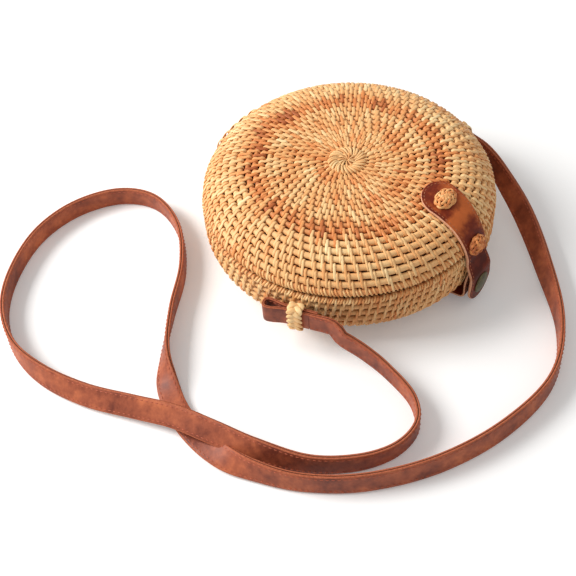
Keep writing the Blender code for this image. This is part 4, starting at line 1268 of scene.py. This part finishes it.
# The snap's parts: name, node, body, metal, face, softness, and radius and distance out from the face
CAP_FACE = TONGUE_CENTRE + FLAP_THICKNESS / 2 + 0.0002
SOCKET_FACE = TONGUE_CENTRE - FLAP_THICKNESS / 2 - FIT_GAP
STUD_FACE = TAB_CENTRE + TAB_THICKNESS / 2 + FIT_GAP
RIVET_FACE = TAB_CENTRE - TAB_THICKNESS / 2 - FIT_GAP
SNAP_PARTS = (
    ("snap_cap_dome", "snap_cap", "flap", SNAP_METAL, CAP_FACE, 0,
     ((0.0001, 0.00135), (0.0036, 0.00128), (0.0053, 0.00108), (0.0061, 0.00088), (0.0065, 0.00092),
      (0.0070, 0.00084), (0.0074, 0.00054), (0.0075, 0.00015), (0.0073, 0), (0.0013, 0), (0.0013, -0.0024))),
    ("snap_socket_cup", "snap_socket", "flap", SNAP_METAL_BRIGHT, SOCKET_FACE, 0.00018,
     ((0.0001, 0), (0.0050, 0), (0.0050, -0.0009), (0.0038, -0.0016), (0.0022, -0.0016),
      (0.0022, -0.0004), (0.0001, -0.0004))),
    ("snap_stud_post", "snap_stud", "base", SNAP_METAL_BRIGHT, STUD_FACE, 0,
     ((0.0001, 0.0015), (0.0012, 0.00145), (0.0018, 0.0011), (0.0019, 0.0008), (0.0016, 0.0005),
      (0.0017, 0.0004), (0.0043, 0.00035), (0.0045, 0.0002), (0.0045, 0), (0.0001, 0))),
    ("snap_rivet_head", "snap_rivet", "base", SNAP_METAL, RIVET_FACE, 0.0001,
     ((0.0001, 0), (0.0036, 0), (0.0036, -0.0004), (0.0026, -0.0006), (0.0001, -0.0006))),
)


def softened(points, soft):
    """A turned profile with its corners cut soft."""
    made = [points[0]]
    for before, corner, after in zip(points, points[1:], points[2:]):
        for toward in (before, after):
            made.append(corner + (toward - corner) * min(soft / np.linalg.norm(toward - corner), 0.4))
    return made + [points[-1]]


def snap():
    """Cap and socket on the flap, stud and rivet on the tab, each turned about Y."""
    for name, node, body, metal, face, soft, profile in SNAP_PARTS:
        batch = Batch()
        points = softened(np.array(profile), soft) if soft else profile
        rings = [turned(radius, -(face + out), circle(64)) for radius, out in points]
        batch.loft(np.array(rings)[..., (0, 2, 1)] + (FLAP_END_SHIFT, 0, SNAP_HEIGHT), True, 0.5)
        batch.make(name, [metal], body, "snap_metal", (node,), sharp=32)


# The knots: node, place across, foot, half sizes, rise and cane, tone and body
FLAP_LIFT = FIT_GAP + FLAP_THICKNESS + 0.0002
KNOTS = (
    ("flap_knot_upper", 0.0040, dome_point(0.0724, FLAP_LIFT),
     (0.0097, 0.0067), (0.0043, 0.0018), 0.60, "lid"),
    ("flap_knot_lower", FLAP_END_SHIFT, dome_point(float(dome_radius(0.0048)), FLAP_LIFT),
     (0.0088, 0.0062), (0.0043, 0.0018), 0.85, "lid"),
    ("catch_knot", FLAP_END_SHIFT, corner_point(math.radians(58), 2 * FIT_GAP + TAB_THICKNESS),
     (0.0060, 0.0042), (0.0020, 0.0013), 0.4, "base"),
)


# Inside and back
LINING_DEPTH = WALL + 0.0009
LINING_THICKNESS = 0.0004
LINING_POINTS = 160
LINING_HOLE = 0.00004
LINING_PULL = 0.00016
LINING_FOLDS = 23
LINING_TWIST = 70
LINING_FREE = 0.05
HEM_DROP = 0.0056
HEM_FOLD = np.array((-0.0005, 0.0))
HEM_THREAD_SIZES = (0.0040, 0.0028, 0.00025)
LACING_PASSES = 9
LACING_PITCH = 0.0048
LACING_SLANT = 0.0022
LACING_LIFT = 0.0011
LACING_CANE = (0.0024, 0.0007)
LACING_HEIGHTS = (0.0122, 0.0108, 0.0090, 0.0070, 0.0050, 0.0030, 0.0013)
LACING_DEPTHS = (-0.0022, -0.0004, 0, 0, 0, 0, 0)


def lining(name, face, upward, body, node):
    """Cotton lining with a turned and stitched hem at the bowl's edge."""
    line = face - ways_out(face, upward) * LINING_DEPTH
    foot = SEAM_HEIGHT + (FIT_GAP / 2 + HEM_DROP) * upward
    line = line[(line[:, 0] > 0.5 * MM) & ((line[:, 1] - foot) * upward > 0)]
    line = evenly(np.vstack(((LINING_HOLE, line[0, 1]), line)), 60)
    turns = circle(LINING_POINTS)
    rows = []
    for radius, height in np.vstack((line, line[:-5:-1] + HEM_FOLD)):
        fold = np.sin(LINING_FOLDS * turns + LINING_TWIST * height) * min(radius / LINING_FREE, 1)
        rows.append(turned(radius - np.abs(LINING_PULL * fold), height, turns))
    batch = Batch()
    batch.loft(rows, True, 0.5, capped=False)
    cloth = batch.make(name, [COTTON], body, "lining", (node,))
    solid = cloth.modifiers.new("cloth", "SOLIDIFY")
    solid.thickness = LINING_THICKNESS
    solid.offset = 0
    ring = turned(*(line[-3] + HEM_FOLD * 1.7), np.append(turns, 0))
    hem = [(ring, -unit(ring * (1, 1, 0)))]
    seams = stitching(name + "_stitching", hem, *HEM_THREAD_SIZES, LINING_THREAD, body, "lining")


def hinge_lacing():
    """Flat cane laced over the back from the lid to the lower bowl, bending at the seam."""
    batch = Batch()
    heights = np.array(LACING_HEIGHTS)
    heights = np.concatenate((heights, [0.0], -heights[::-1]))
    depths = np.array((*LACING_DEPTHS, 0.0001, *LACING_DEPTHS[::-1]))
    radius = dome_radius(heights) + LACING_LIFT + depths
    for index in range(LACING_PASSES):
        across = (index - LACING_PASSES // 2) * LACING_PITCH
        slant = LACING_SLANT * (1 if index % 2 else -1) / LACING_HEIGHTS[1]
        turn = QUARTER - (across + slant * heights) / BAG_RADIUS
        outs = turned(1.0, 0.0, turn)
        strand(batch, turned(radius, SEAM_HEIGHT + heights, turn), outs, *LACING_CANE,
               0.34 + RANDOM.uniform(-0.1, 0.1))
    lacing = batch.make("hinge_lacing_cane", [STRAND], None, "rattan",
                        ("hinge_lacing_upper", "hinge_lacing_lower"))
    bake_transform(lacing)


add_camera()
studio()
floor()
shoulder_strap()
for label, way in (("front", -1), ("back", 1)):
    strap_eye("strap_eye_" + label, way)
    strap_ring("strap_ring_" + label, way)
leather_flap()
catch_tab()
snap()
for knot in KNOTS:
    button_knot(*knot)
lining("lid_lining_cotton", lid_face(), 1, "lid", "upper_lining")
lining("bowl_lining_cotton", bowl_face(), -1, "base", "lower_lining")
hinge_lacing()
coiled_bowl("lid", Meridian(lid_face(), 1, LID_OUTER_ROWS, LID_OUTER_ROD), LID_COUNTS, "lid",
            ("upper_shell", "upper_rim_coil"))
coiled_bowl("bowl", Meridian(bowl_face(), -1, BOWL_OUTER_ROWS, BOWL_OUTER_ROD), BOWL_COUNTS, "base",
            ("lower_shell", "lower_rim_coil"))
